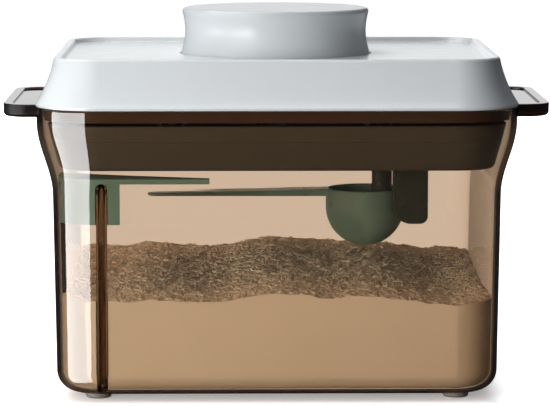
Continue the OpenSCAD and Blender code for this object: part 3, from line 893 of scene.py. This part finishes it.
    def build_feet(self) -> Piece:
        """Builds a foot with a peg at each of the four corners."""
        r, top, peg = self.foot_r, self.low_z - 0.05, self.foot_r - self.peg_in
        section = [(0, 0.0), (r - 1.2, 0.0), *arc(r - 1.0, 1.0, 1.0, -80, 0, 5), (r, top), (peg, top),
                   (peg, top + 1.1), (0, top + 1.1)]
        foot = Bench.join([Bench.revolve("foot", section, at, 40) for at in self.feet_places()])
        foot.name = foot.data.name = "feet"
        Bench.smooth(foot)
        return foot

    def dress(self, palette: Palette) -> None:
        """Builds and seats the pieces."""
        seat(self.build(), palette.amber, "canister", "amber_plastic", "container")
        seat(self.build_feet(), palette.rubber, "canister", "foot_rubber", "rubber_feet")


@dataclass
class Leveller:
    """Bar in the front left corner on which the scoop is struck level, with a skirt under it."""

    container: Container
    bar_z: float = 94.2
    bar_t: float = 2.1
    length: float = 65.0
    root: float = 26.0
    tip: float = 5.0
    bend: float = 0.62
    bend_on: float = 3.0
    back_len: float = 5.0
    skirt_h: float = 17.6
    skirt_len: float = 27.0
    skirt_t: float = 2.2
    fit: float = 0.4

    def corner(self, u: float) -> list[Flat]:
        """Arc round the front left corner axis, from the left wall to the front wall."""
        return arc(-self.container.half_x, -self.container.half_y, u, 180, 270, 14)

    def build(self) -> Piece:
        """Builds the bar and the skirt as one moulding."""
        room = self.container
        u_bar = room.side(self.bar_z) - room.wall - self.fit
        u_skirt = room.side(self.bar_z - self.skirt_h) - room.wall - self.fit
        left, front = -room.half_x - u_bar, -room.half_y - u_bar
        back = front + self.root
        plan = [(left, back), *self.corner(u_bar), (left + self.length, front),
                (left + self.length, front + self.tip),
                (left + self.skirt_len + self.bend_on, front + self.root * self.bend), (left + self.back_len, back)]
        bar = Bench.slab("leveller_bar", [(x, y, self.bar_z) for x, y in plan], (0, 0, self.bar_t))
        low = self.bar_z - self.skirt_h
        inner = u_skirt - self.skirt_t
        strip = [(-room.half_x - u_skirt, back), *self.corner(u_skirt),
                 (left + self.skirt_len, -room.half_y - u_skirt), (left + self.skirt_len, -room.half_y - inner),
                 *reversed(self.corner(inner)), (-room.half_x - inner, back)]
        skirt = Bench.slab("skirt", [(x, y, low) for x, y in strip], (0, 0, self.skirt_h + SUNK))
        Bench.combine(bar, [skirt], Cut.JOIN)
        Bench.combine(bar, room.ribs(self.fit), Cut.TAKE)
        Bench.round_edges(bar, 0.3, 2, 50)
        Bench.smooth(bar)
        return bar

    def dress(self, palette: Palette) -> None:
        """Builds and seats the piece."""
        seat(self.build(), palette.sage, "canister", "green_plastic", "leveller")


@dataclass
class Filling:
    """Milk powder in the canister, heaped a little towards the back."""

    container: Container
    middle: float = 48.0
    rise: float = 6.0
    run: float = 164.6
    crown: float = 4200.0
    gap: float = 0.35
    trim_z: float = 70.0
    columns: int = 125
    rows: int = 98
    crumb_r: float = 0.85
    crumb_step: float = 1.75
    crumb_sizes: Flat = (0.55, 1.35)
    crumb_gap: float = 1.6
    patch: float = 24.0
    seed: int = 11
    drop: float = 1000.0

    def height(self, x: float, y: float) -> float:
        """Height of the powder at a place, from the lie of the heap down to single lumps.

        Args:
            x: Place to the right.
            y: Place to the back.

        Returns:
            Height above the table.
        """
        slope = self.middle + self.rise * y / self.run - x * x / self.crown
        waves = 1.3 * (math.sin(math.radians(x * 3.1 + 40)) + 0.6 * math.sin(math.radians(x * 7.3 + 110)))
        lumps = 1.2 * noise.noise(Vector((x, y, 3.0)) / 9.0) + 0.6 * noise.noise(Vector((x, y, 9.0)) / 3.6)
        return slope + waves + lumps

    def crumbs(self) -> Piece:
        """Models one crumb, copies it over a patch and the patch over the whole heap.

        Returns:
            The crumbs that lie clear of the walls and ribs, half sunk in the heap.
        """
        room, chance = self.container, random.Random(self.seed)
        wide, deep = room.span
        Bench.clear()
        bpy.ops.mesh.primitive_ico_sphere_add(subdivisions=1, radius=self.crumb_r * MM)
        crumb = Bench.named("powder_crumbs")
        corners = len(crumb.data.vertices)
        Bench.edit_whole(crumb)
        bpy.ops.transform.vertex_random(offset=0.3 * MM, uniform=1.0, seed=3)
        here, size = Vector(), 1.0
        for _ in range(round((self.patch / self.crumb_step) ** 2) - 1):
            there = Vector((chance.uniform(0, self.patch), chance.uniform(0, self.patch), 0)) * MM
            bpy.ops.mesh.duplicate_move(TRANSFORM_OT_translate={"value": there - here})
            grown = chance.uniform(*self.crumb_sizes)
            bpy.ops.transform.resize(value=(grown / size,) * 3, center_override=there)
            bpy.ops.transform.rotate(value=chance.uniform(0, 6), orient_axis="Z", center_override=there)
            here, size = there, grown
        Bench.hold(crumb)
        for half, step in ((wide, (1, 0, 0)), (deep, (0, 1, 0))):
            Bench.finish_modifier(crumb, "ARRAY", count=math.ceil(2 * half / self.patch), use_relative_offset=False,
                                  use_constant_offset=True, constant_offset_displace=Vector(step) * self.patch * MM)
        spots = crumb.data.vertices
        for first in range(0, len(spots), corners):
            knot = spots[first:first + corners]
            at = sum((spot.co for spot in knot), Vector()) / corners / MM
            x = at.x - wide + 3 * noise.noise(Vector((at.x, at.y, 1.0)) / 11)
            y = at.y - deep + 3 * noise.noise(Vector((at.x, at.y, 7.0)) / 11)
            z = self.height(x, y)
            # A crumb outside the room goes far down, where all of these are picked
            away = 0.0 if room.holds(x, y, z, self.crumb_gap) else -self.drop
            for spot in knot:
                spot.co += Vector((x - at.x, y - at.y, z + away)) * MM
        Bench.pick(crumb, lambda at, up: at.z < -self.drop / 2, "VERT")
        bpy.ops.mesh.delete(type="VERT")
        Bench.hold(crumb)
        return crumb

    def build(self) -> Piece:
        """Raises a fine grid to the heap, extrudes it down and trims it to the inside of the canister."""
        room = self.container
        wide, deep = room.span
        Bench.clear()
        bpy.ops.mesh.primitive_grid_add(x_subdivisions=self.columns, y_subdivisions=self.rows, size=2.0,
                                        location=(0, 0, self.middle * MM))
        heap = Bench.named("powder_heap")
        Bench.edit_whole(heap)
        bpy.ops.transform.resize(value=(wide * MM, deep * MM, 1), center_override=(0, 0, self.middle * MM))
        Bench.hold(heap)
        for spot in heap.data.vertices:
            spot.co.z = self.height(spot.co.x / MM, spot.co.y / MM) * MM
        Bench.edit_whole(heap)
        # The lower copy of the grid is pressed flat on the table
        Bench.extrude((0, 0, -60 * MM))
        bpy.ops.transform.resize(value=(1, 1, 0), center_override=(0, 0, 0))
        bpy.ops.mesh.select_all(action="SELECT")
        bpy.ops.mesh.normals_make_consistent(inside=False)
        Bench.clear()
        inside = Bench.sweep("inside", room.cavity(self.gap, self.trim_z), room.half)
        Bench.combine(inside, room.ribs(self.gap), Cut.TAKE)
        Bench.combine(inside, room.rib_feet(self.gap), Cut.TAKE)
        Bench.combine(heap, [inside], Cut.KEEP)
        crumbs = self.crumbs()
        # Crumbs are loose all round, the heap where it looks up
        for piece, least in ((heap, 0.3), (crumbs, -2.0)):
            loose = piece.data.attributes.new("loose", "FLOAT", "FACE").data
            for face in piece.data.polygons:
                loose[face.index].value = float(face.normal.z > least)
        heap = Bench.join([heap, crumbs])
        bpy.ops.object.shade_smooth_by_angle(angle=math.radians(50))
        return heap

    def dress(self, palette: Palette) -> None:
        """Builds and seats the piece."""
        heap = self.build()
        seat(heap, palette.powder, "canister", "milk_powder", "milk_powder")
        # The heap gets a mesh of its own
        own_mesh(heap)


@dataclass
class Lid:
    """White lid shell with flared sides, a raised border and a round hole for the button."""

    container: Container
    low_z: float = 125.7
    height: float = 21.0
    wall: float = 2.4
    rim_u: float = 28.0
    lip: float = 1.2
    lean_low: float = 34.0
    lean_top: float = 12.0
    edge: float = 1.4
    border: float = 5.0
    dish: float = 2.0
    step_w: float = 2.2
    hole_r: float = 42.2
    hole_edge: float = 0.8
    collar_t: float = 2.2
    collar_h: float = 6.5
    post_r: float = 4.2
    web_half: Flat = (0.9, 7.0)
    web_up: float = 6.0

    @property
    def top_z(self) -> float:
        """Height of the raised border."""
        return self.low_z + self.height

    @property
    def dish_z(self) -> float:
        """Height of the dished top."""
        return self.top_z - self.dish

    @property
    def roof_z(self) -> float:
        """Height of the underside of the top."""
        return self.dish_z - self.wall

    def side(self, inset: float) -> list[Flat]:
        """Hollow side from the lip to the top, moved in by a wall."""
        low, top = math.radians(self.lean_low), math.radians(self.lean_top)
        radius = (self.height - self.lip - self.edge) / (math.sin(low) - math.sin(top))
        cu = self.rim_u + radius * math.cos(low)
        cz = self.low_z + self.lip + radius * math.sin(low)
        turns = [low + (top - low) * i / 24 for i in range(25)]
        return [(cu - (radius + inset) * math.cos(a), cz - radius * math.sin(a)) for a in turns]

    def section(self) -> list[Flat]:
        """Section from the roof down inside, round the rim and up to the dished top."""
        outer = self.side(0)
        inner = [p for p in self.side(self.wall) if p[1] < self.roof_z - 1]
        u_top = outer[-1][0]
        u_step = u_top - self.border
        step = [(u_step + self.step_w - self.step_w * t / 8, self.top_z - self.dish * ease(t / 8)) for t in range(9)]
        return [(0, self.roof_z), (u_top - self.wall, self.roof_z), *reversed(inner),
                (self.rim_u - self.wall, self.low_z),
                *arc(self.rim_u - 0.4, self.low_z + 0.4, 0.4, -90, 0, 4), *outer,
                *arc(u_top - self.edge, self.top_z - self.edge, self.edge, 10, 90, 7), *step, (0, self.dish_z)]

    def posts(self) -> list[Flat]:
        """Places of the screw posts under the roof."""
        return [(x, y) for x in (80, -80) for y in (44, 0, -44)]

    def build(self) -> Piece:
        """Builds the shell with the collar round the hole and the screw posts."""
        shell = Bench.sweep("lid_cover", self.section(), self.container.half)
        collar_z = self.roof_z - self.collar_h
        posts = [Bench.rod("collar", (0, 0), self.hole_r + self.collar_t, collar_z, self.roof_z + 0.5)]
        posts += [Bench.rod("post", at, self.post_r, self.low_z, self.roof_z + SUNK) for at in self.posts()]
        a, b = self.web_half
        webs = [Bench.block("web", (x - a, y - b, self.low_z + self.web_up), (x + a, y + b, self.roof_z + SUNK))
                for x, y in self.posts()]
        Bench.combine(shell, posts, Cut.JOIN)
        Bench.combine(shell, webs, Cut.JOIN)
        low, top, r, edge = self.roof_z - 8, self.dish_z + 1, self.hole_r, self.hole_edge
        flare = [(0, low), (r, low), (r, self.dish_z - edge),
                 *arc(r + edge, self.dish_z - edge, edge, 180, 90, 6), (r + edge, top), (0, top)]
        tools = [Bench.revolve("hole", flare, (0, 0), 128)]
        tools += [Bench.rod("bore", at, BORE_R, self.low_z - 1, self.low_z + 11) for at in self.posts()]
        Bench.combine(shell, tools, Cut.TAKE)
        Bench.smooth(shell, 30)
        return shell

    def dress(self, palette: Palette) -> None:
        """Builds and seats the piece."""
        seat(self.build(), palette.lid, "lid", "white_plastic", "lid_shell")


@dataclass
class Button:
    """Large waisted push button in the middle of the lid."""

    low_z: float = 144.7
    height: float = 20.0
    base_r: float = 41.7
    waist_r: float = 40.1
    top_r: float = 41.3
    wall: float = 2.4
    edge: float = 1.6
    boss_h: float = 6.3
    boss_r: float = 3.6
    fin_half: float = 0.9
    screw_out: float = 30.0

    @property
    def top_z(self) -> float:
        """Height of the top face."""
        return self.low_z + self.height

    def side(self, inset: float) -> list[Flat]:
        """Waisted side from the base to the top, moved in by a wall."""
        low, high = self.low_z + 0.6, self.top_z - self.edge
        dip = (self.base_r + self.top_r) / 2 - self.waist_r
        spots = []
        for i in range(33):
            t = i / 32
            ends = self.base_r + (self.top_r - self.base_r) * t
            spots.append((ends - dip * math.sin(math.pi * t) - inset, low + (high - low) * t))
        return spots

    def build(self) -> Piece:
        """Builds the cap and the four screw bosses under it."""
        roof = self.top_z - self.wall
        inner = [p for p in self.side(self.wall) if p[1] < roof - 1]
        section = [(0, roof), (self.top_r - self.wall - 0.4, roof), *reversed(inner),
                   (self.base_r - self.wall, self.low_z - 0.9), (self.base_r - 0.4, self.low_z - 0.9),
                   (self.base_r, self.low_z - 0.5), *self.side(0),
                   *arc(self.top_r - self.edge, self.top_z - self.edge, self.edge, 12, 90, 8), (0, self.top_z)]
        cap = Bench.revolve("button_cap", section, (0, 0), 128)
        bosses, fins, bores = [], [], []
        for turn in (45, 135, 225, 315):
            at = (self.screw_out * math.cos(math.radians(turn)), self.screw_out * math.sin(math.radians(turn)))
            bosses.append(Bench.rod("boss", at, self.boss_r, roof - self.boss_h, roof + SUNK))
            fin = Bench.block("fin", (self.screw_out + 2, -self.fin_half, roof - self.boss_h + 1.5),
                              (self.screw_out + 7.2, self.fin_half, roof + SUNK))
            Bench.turn(fin, -turn)
            fins.append(fin)
            bores.append(Bench.rod("bore", at, BORE_R, roof - self.boss_h - 1, roof - 0.6))
        Bench.combine(cap, bosses, Cut.JOIN)
        Bench.combine(cap, fins, Cut.JOIN)
        Bench.combine(cap, bores, Cut.TAKE)
        Bench.smooth(cap, 30)
        return cap

    def dress(self, palette: Palette) -> None:
        """Builds and seats the piece."""
        seat(self.build(), palette.button, "button", "white_plastic", "button")


@dataclass
class Seal:
    """Dark seal tray that fills the mouth of the canister, and the silicone ring squeezed above it."""

    container: Container
    tray_z: float = 99.7
    floor_z: float = 102.2
    seat_z: float = 112.3
    neck_top: float = 118.7
    u_tray: float = 18.3
    u_seat: float = 21.4
    u_neck: float = 17.4
    u_plug: float = 24.3
    wall: float = 2.4
    gasket_h: float = 7.5
    gap: float = 0.9
    hook_at: float = 52.97
    hook_in: float = 50.03
    hook_z: float = 114.15
    hook_t: Flat = (3.4, 2.8)
    hook_half: float = 4.0
    post_r: float = 3.6

    def build_tray(self) -> Piece:
        """Builds the tray, the hooks that the rocker levers lift and the posts of the holder."""
        low = 2.0
        section = [(0, self.tray_z),
                   *arc(self.u_tray - low, self.tray_z + low, low, -90, -10, 8),
                   (self.u_seat, self.seat_z - 0.1), (self.u_seat - 0.05, self.seat_z - 0.05),
                   (self.u_neck, self.seat_z - 0.05), (self.u_neck, self.neck_top),
                   (self.u_neck - self.wall, self.neck_top), (self.u_neck - self.wall, self.seat_z - 1.5),
                   (self.u_tray - self.wall - 1, self.floor_z), (0, self.floor_z)]
        tray = Bench.sweep("plug_tray", section, self.container.half)
        foot, out, top = self.floor_z - SUNK, self.hook_at + self.hook_t[0], self.hook_z + self.hook_t[1]
        side = [(self.hook_at, foot), (out, foot), (out, top), (self.hook_in, top), (self.hook_in, self.hook_z),
                (self.hook_at, self.hook_z)]
        hooks = []
        for turn in (0, 90, 180, 270):
            hook = Bench.slab("hook", [(x, -self.hook_half, z) for x, z in side], (0, 2 * self.hook_half, 0))
            Bench.turn(hook, turn)
            hooks.append(hook)
        hooks += [Bench.rod("post", at, self.post_r, foot, self.floor_z + 4) for at in Holder.screws]
        Bench.combine(tray, hooks, Cut.JOIN)
        bores = [Bench.rod("bore", at, BORE_R, self.tray_z - 1, self.tray_z + 6) for at in Holder.screws]
        Bench.combine(tray, bores, Cut.TAKE)
        Bench.smooth(tray, 30)
        return tray

    def build_gasket(self) -> Piece:
        """Builds the ring, flush with the tray below and with an open gap under the carrier plate."""
        inner, low, high = self.u_neck + 0.3, self.seat_z, self.seat_z + self.gasket_h - self.gap
        out, edge = self.u_plug - 1.5, 0.5
        foot = [(self.u_seat - 0.05, low), (self.u_seat, low + 0.05)]
        lip = arc(out - edge, high - edge, edge, 0, 90, 5)
        section = [(inner, low), *foot, *lip, (inner, high), (inner, low)]
        ring = Bench.sweep("gasket_ring", section, self.container.half)
        Bench.smooth(ring, 40)
        return ring

    def dress(self, palette: Palette) -> None:
        """Builds and seats both pieces."""
        seat(self.build_tray(), palette.plug, "tray", "dark_plastic", "seal_tray")
        ring = self.build_gasket()
        seat(ring, palette.silicone, "lid", "silicone", "seal_gasket")
        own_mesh(ring)


@dataclass
class Holder:
    """Dark clip under the lid: a prong inside the scoop bowl and a tongue outside it."""

    screws: ClassVar[tuple[Flat, ...]] = ((64.5, 5.0), (45.5, 7.0))
    top_z: float = 99.7
    base_t: float = 2.4
    base_low: Flat = (38.0, -26.0)
    base_high: Flat = (70.0, 12.0)
    base_corner: float = 3.0
    prong_at: Flat = (47.135, -8.503)
    prong_r: float = 4.5
    prong_edge: float = 2.0
    prong_low: float = 76.7
    tongue_x: float = 51.5
    tongue_y: float = -14.222
    tongue_w: float = 15.4
    tongue_t: float = 8.0
    tongue_z: float = 70.4
    tongue_r: Flat = (8.0, 3.5)
    web_half: float = 0.9
    web_z: float = 88.3
    web_len: float = 12.0

    def build(self) -> Piece:
        """Builds the base, the prong, the tongue and the web as one moulding."""
        under = self.top_z - self.base_t
        base = Bench.block("scoop_clip", (*self.base_low, under), (*self.base_high, self.top_z))
        Bench.pick(base, lambda at, run: abs(run.z) > 0.9, "EDGE")
        bpy.ops.mesh.bevel(offset=self.base_corner * MM, segments=5, affect="EDGES")
        Bench.clear()
        edge, low, root = self.prong_edge, self.prong_low, under + SUNK
        prong = Bench.revolve("prong", [(0, low), *arc(self.prong_r - edge, low + edge, edge, -90, 0, 6),
                                        (self.prong_r, root), (0, root)], self.prong_at, 40)
        x, w, z = self.tongue_x, self.tongue_w, self.tongue_z
        big, small = self.tongue_r
        face = [(x, root), *arc(x + big, z + big, big, 180, 270, 10),
                *arc(x + w - small, z + small, small, 270, 360, 8), (x + w, root)]
        tongue = Bench.slab("tongue", [(a, self.tongue_y, b) for a, b in face], (0, -self.tongue_t, 0))
        Bench.round_edges(tongue, 0.8, 3, 50)
        x, y = self.prong_at
        web = Bench.block("web", (x - self.web_half, y, self.web_z), (x + self.web_half, y + self.web_len, root))
        Bench.combine(base, [prong, tongue], Cut.JOIN)
        Bench.combine(base, [web], Cut.JOIN)
        bores = [Bench.rod("bore", at, BORE_R, self.top_z - 5, self.top_z + 3) for at in self.screws]
        Bench.combine(base, bores, Cut.TAKE)
        Bench.smooth(base)
        return base

    def dress(self, palette: Palette) -> None:
        """Builds and seats the piece."""
        seat(self.build(), palette.holder, "tray", "dark_plastic", "scoop_holder")


@dataclass
class Scoop:
    """Measuring scoop with a round bowl and a long thin handle."""

    bowl_x: float = 40.0
    bowl_z: float = 84.3
    bowl_r: float = 17.5
    bowl_h: float = 8.5
    bowl_t: float = 1.5
    length: float = 114.5
    handle_w: float = 11.0
    handle_t: float = 3.2
    root_in: float = 0.4
    tip_t: float = 1.2
    tip_share: float = 0.8
    tip_r: float = 4.3

    def build(self) -> Piece:
        """Builds the bowl and the handle as one moulding."""
        mid, inner = self.bowl_z - self.bowl_h, self.bowl_r - self.bowl_t
        lip = self.bowl_t / 2
        section = [*arc(0, mid, self.bowl_r, -90, 0, 20),
                   *arc(self.bowl_r - lip, self.bowl_z - lip, lip, 0, 180, 8),
                   *arc(0, mid, inner, 0, -90, 20)]
        bowl = Bench.revolve("scoop_cup", section, (self.bowl_x, 0), 96)
        tip, under = self.bowl_x + self.bowl_r - self.length, self.bowl_z - self.handle_t
        root, half = self.bowl_x - inner - self.root_in, self.handle_w / 2
        side = [(tip, under), (root, under), (root, self.bowl_z), (self.bowl_x - self.bowl_r, self.bowl_z),
                (tip, under + self.tip_t)]
        handle = Bench.slab("handle", [(x, -half, z) for x, z in side], (0, self.handle_w, 0))
        Bench.pick(handle, lambda at, up: at.x < tip + 1, "VERT")
        bpy.ops.transform.resize(value=(1, self.tip_share, 1), center_override=(0, 0, 0))
        Bench.pick(handle, lambda at, run: abs(run.z) > 0.9 and at.x < tip + 1, "EDGE")
        bpy.ops.mesh.bevel(offset=self.tip_r * MM, segments=8, affect="EDGES")
        Bench.clear()
        Bench.round_edges(handle, 0.35, 3, 40)
        Bench.combine(handle, [Bench.rod("room", (self.bowl_x, 0), inner + 0.5, mid - 2, self.bowl_z + 4)], Cut.TAKE)
        Bench.combine(bowl, [handle], Cut.JOIN)
        Bench.smooth(bowl)
        return bowl

    def dress(self, palette: Palette) -> None:
        """Builds and seats the piece."""
        seat(self.build(), palette.scoop, "scoop", "green_plastic", "scoop")


@dataclass
class Works:
    """Mechanism inside the lid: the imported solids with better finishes, and the wound return spring."""

    coil_r: float = 4.4
    wire_r: float = 0.55
    low_z: float = 109.9
    high_z: float = 152.1
    turns: int = 9

    def build_spring(self) -> Piece:
        """Winds a wire section up the coil with the screw tool."""
        low, high = self.low_z + self.wire_r, self.high_z - self.wire_r
        Bench.clear()
        bpy.ops.mesh.primitive_circle_add(vertices=12, radius=self.wire_r * MM, rotation=(math.pi / 2, 0, 0),
                                          location=(self.coil_r * MM, 0, low * MM))
        wire = Bench.named("coil_spring")
        Bench.finish_modifier(wire, "SCREW", screw_offset=(high - low) / self.turns * MM, iterations=self.turns,
                              angle=2 * math.pi, steps=32, render_steps=32, axis="Z")
        Bench.edit(wire)
        Bench.close(wire)
        Bench.smooth(wire, 60)
        return wire

    def dress(self, palette: Palette) -> None:
        """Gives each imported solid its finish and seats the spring."""
        screws = [f"{owner}_screws" for owner in ("carrier", "pusher", "holder")]
        rockers = [f"rocker_{side}" for side in ("right", "back", "left", "front")]
        finishes = ((palette.carrier, ["carrier_plate"]), (palette.steel, ["rocker_pins", *screws]),
                    (palette.acetal, ["latch_cartridge", "pusher", *rockers]))
        for stuff, nodes in finishes:
            for node in nodes:
                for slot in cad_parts[node].material_slots:
                    slot.material = stuff
                LOG.info("%s: packed solid in %s", node, stuff.name)
        spring = self.build_spring()
        seat(spring, palette.steel, "lid", "steel", "return_spring")
        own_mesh(spring)


# Studio


class Reach(Enum):
    """What a lamp does: whether it lights surfaces and whether it is mirrored in them."""

    ALL = (True, True)
    LIGHT = (True, False)
    MIRROR = (False, True)


@dataclass(frozen=True)
class Softbox:
    """One rectangular lamp."""

    name: str
    place: Place
    aim: Place
    size: Flat
    power: float
    reach: Reach = Reach.ALL

    def set_up(self) -> None:
        """Adds the lamp and turns it to its aim."""
        lamp = bpy.data.lights.new(self.name, "AREA")
        lamp.shape = "RECTANGLE"
        lamp.size, lamp.size_y = self.size
        lamp.energy = self.power
        stand = bpy.data.objects.new(self.name, lamp)
        bpy.context.scene.collection.objects.link(stand)
        stand.location = self.place
        aim = Vector(self.aim) - Vector(self.place)
        stand.rotation_euler = aim.to_track_quat("-Z", "Y").to_euler()
        stand.visible_camera = stand.visible_transmission = False
        stand.visible_diffuse, stand.visible_glossy = self.reach.value


@dataclass
class Studio:
    """White paper floor, a window box on the left, soft boxes above and a dark room in front."""

    eye: Place = (-0.0175, -1.3423, 0.2395)
    look: Place = (0.0129, 1.0, -0.121)
    lens: float = 197.8
    sensor: float = 36.0
    paper: str = "#f8f8f8"
    bounce: str = "#7c7c7b"
    # Footprint where the floor's glow is held low, a painted shadow under the canister
    under: Place = (0.088, 0.067, 0.0)
    painted_shadow_edge: float = 0.014
    painted_shadow_glow: float = 0.3
    near_glow: float = 0.9
    far_glow: float = 0.98
    back_glow: float = 0.85
    sky: float = 0.05
    sky_tone: str = "#dfe8ff"
    room: float = 0.03
    card_at: Place = (0.0, 0.993, 0.12)
    card_edge: float = 12.0
    card_full: float = 6.0

    @staticmethod
    def sights(tree: Tree) -> tuple[Socket, Socket]:
        """Makes masks of the rays that see the backdrop.

        Args:
            tree: Node tree of the floor or the sky.

        Returns:
            Two sockets: 1 for rays straight from the camera, and 1 for those that came through the clear
            wall without a bounce, so that the wall is dark where it mirrors inside.
        """
        ray = add_node(tree, "LightPath").outputs
        bounced = reckon(tree, "ADD", ray["Diffuse Depth"], ray["Glossy Depth"])
        return ray["Is Camera Ray"], reckon(tree, "SUBTRACT", ray["Is Transmission Ray"], bounced, clamp=True)

    def set_floor(self) -> None:
        """Lays a wide white floor that keeps the shadow of the canister, with painted shadow under it."""
        Bench.clear()
        bpy.ops.mesh.primitive_grid_add(x_subdivisions=4, y_subdivisions=4, size=60.0)
        floor = Bench.named("floor")
        stuff = new_material("paper_white_matt")
        tree = stuff.node_tree
        direct, through = self.sights(tree)
        place = add_node(tree, "TexCoord").outputs["Object"]
        far = add_node(tree, "VectorMath", {0: place}, operation="LENGTH").outputs["Value"]
        # The glow makes up for the lamps, which reach less far
        level = ramp(tree, far, 0.3, 1.6, self.near_glow, self.far_glow, soft=True)
        # Painted shadow: little glow under the canister, where its real shadow is deepest, so the floor there stays
        # darker
        apart = add_node(tree, "VectorMath", {0: place}, operation="ABSOLUTE").outputs[0]
        apart = add_node(tree, "VectorMath", {0: apart, 1: self.under}, operation="SUBTRACT").outputs[0]
        sides = add_node(tree, "SeparateXYZ", {0: apart}).outputs
        apart = reckon(tree, "MAXIMUM", sides["X"], sides["Y"])
        level = ramp(tree, apart, 0.0, self.painted_shadow_edge, self.painted_shadow_glow, level, soft=True)
        glow = reckon(tree, "MULTIPLY_ADD", through, self.back_glow, reckon(tree, "MULTIPLY", direct, level))
        tone = blend(tree, direct, linear(self.bounce), linear(self.paper))
        tone = blend(tree, through, tone, BLACK)
        shader = add_node(tree, "BsdfPrincipled", {
            "Base Color": tone, "Roughness": 0.9, "Specular IOR Level": 0.0, "Emission Color": WHITE,
            "Emission Strength": glow})
        add_node(tree, "OutputMaterial", {"Surface": shader.outputs["BSDF"]})
        floor.data.materials.append(stuff)
        floor.visible_glossy = False

    def set_sky(self) -> None:
        """White for what is seen directly or through the wall, and mirrored from the card behind; else a soft level."""
        world = bpy.data.worlds.new("studio")
        bpy.context.scene.world = world
        world.use_nodes = True
        tree = world.node_tree
        tree.nodes.clear()
        direct, through = self.sights(tree)
        mirrored = add_node(tree, "LightPath").outputs["Is Glossy Ray"]
        way = add_node(tree, "TexCoord").outputs["Generated"]
        behind = add_node(tree, "VectorMath", {0: way, 1: self.card_at}, operation="DOT_PRODUCT").outputs["Value"]
        card = ramp(tree, behind, math.cos(math.radians(self.card_edge)), math.cos(math.radians(self.card_full)))
        white = reckon(tree, "MAXIMUM", direct, reckon(tree, "MULTIPLY", card, mirrored))
        white = reckon(tree, "MULTIPLY_ADD", through, self.back_glow, white)
        level = reckon(tree, "MAXIMUM", white, ramp(tree, mirrored, 0.0, 1.0, self.sky, self.room))
        tone = blend(tree, white, linear(self.sky_tone), WHITE)
        light = add_node(tree, "Background", {"Color": tone, "Strength": level})
        add_node(tree, "OutputWorld", {"Surface": light.outputs["Background"]})

    def set_camera(self) -> None:
        """Adds the camera."""
        lens = bpy.data.cameras.new("camera")
        lens.sensor_fit = "HORIZONTAL"
        lens.sensor_width = self.sensor
        lens.lens = self.lens
        lens.clip_end = 100.0
        camera = bpy.data.objects.new("camera", lens)
        bpy.context.scene.collection.objects.link(camera)
        camera.location = self.eye
        camera.rotation_euler = Vector(self.look).to_track_quat("-Z", "Y").to_euler()
        bpy.context.scene.camera = camera

    def set_up(self) -> None:
        """Sets the floor, the sky, the lamps and the camera."""
        bpy.context.scene.view_settings.view_transform = "Standard"
        self.set_floor()
        self.set_sky()
        self.set_camera()
        for lamp in (
            Softbox("key", (-0.465, -0.517, 0.381), (0, 0, 0.1), (0.42, 0.36), 2.0, Reach.LIGHT),
            # The window as the table top would show it, seen only in the clear wall
            Softbox("window_below", (-0.96, -0.552, -0.46), (-0.09, -0.06, -0.46), (1.375, 1.08), 60.0, Reach.MIRROR),
            # Comes in under the lid, to the powder and the scoop
            Softbox("side_fill", (-0.62, -0.745, 0.165), (0, 0, 0.1), (0.6, 0.2), 5.0, Reach.LIGHT),
            Softbox("overhead", (-0.45, 0.4, 1.15), (0, 0, 0.1), (1.0, 0.7), 9.8),
            Softbox("front_top", (-0.1, -0.56, 1.13), (0, -0.08, 0.13), (0.8, 0.12), 1.5),
            Softbox("backdrop", (0, 1.3, 0.4), (0, 0, 0.1), (2.4, 0.7), 17.0, Reach.LIGHT),
        ):
            lamp.set_up()


def main() -> None:
    """Builds the sub-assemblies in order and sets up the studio."""
    logging.basicConfig(level=logging.INFO, format="%(name)s: %(message)s")
    palette = Palette()
    container = Container()
    for part in (container, Leveller(container), Filling(container), Lid(container), Button(), Seal(container),
                 Holder(), Scoop(), Works()):
        part.dress(palette)
    Studio().set_up()


if __name__ == "__main__":
    main()
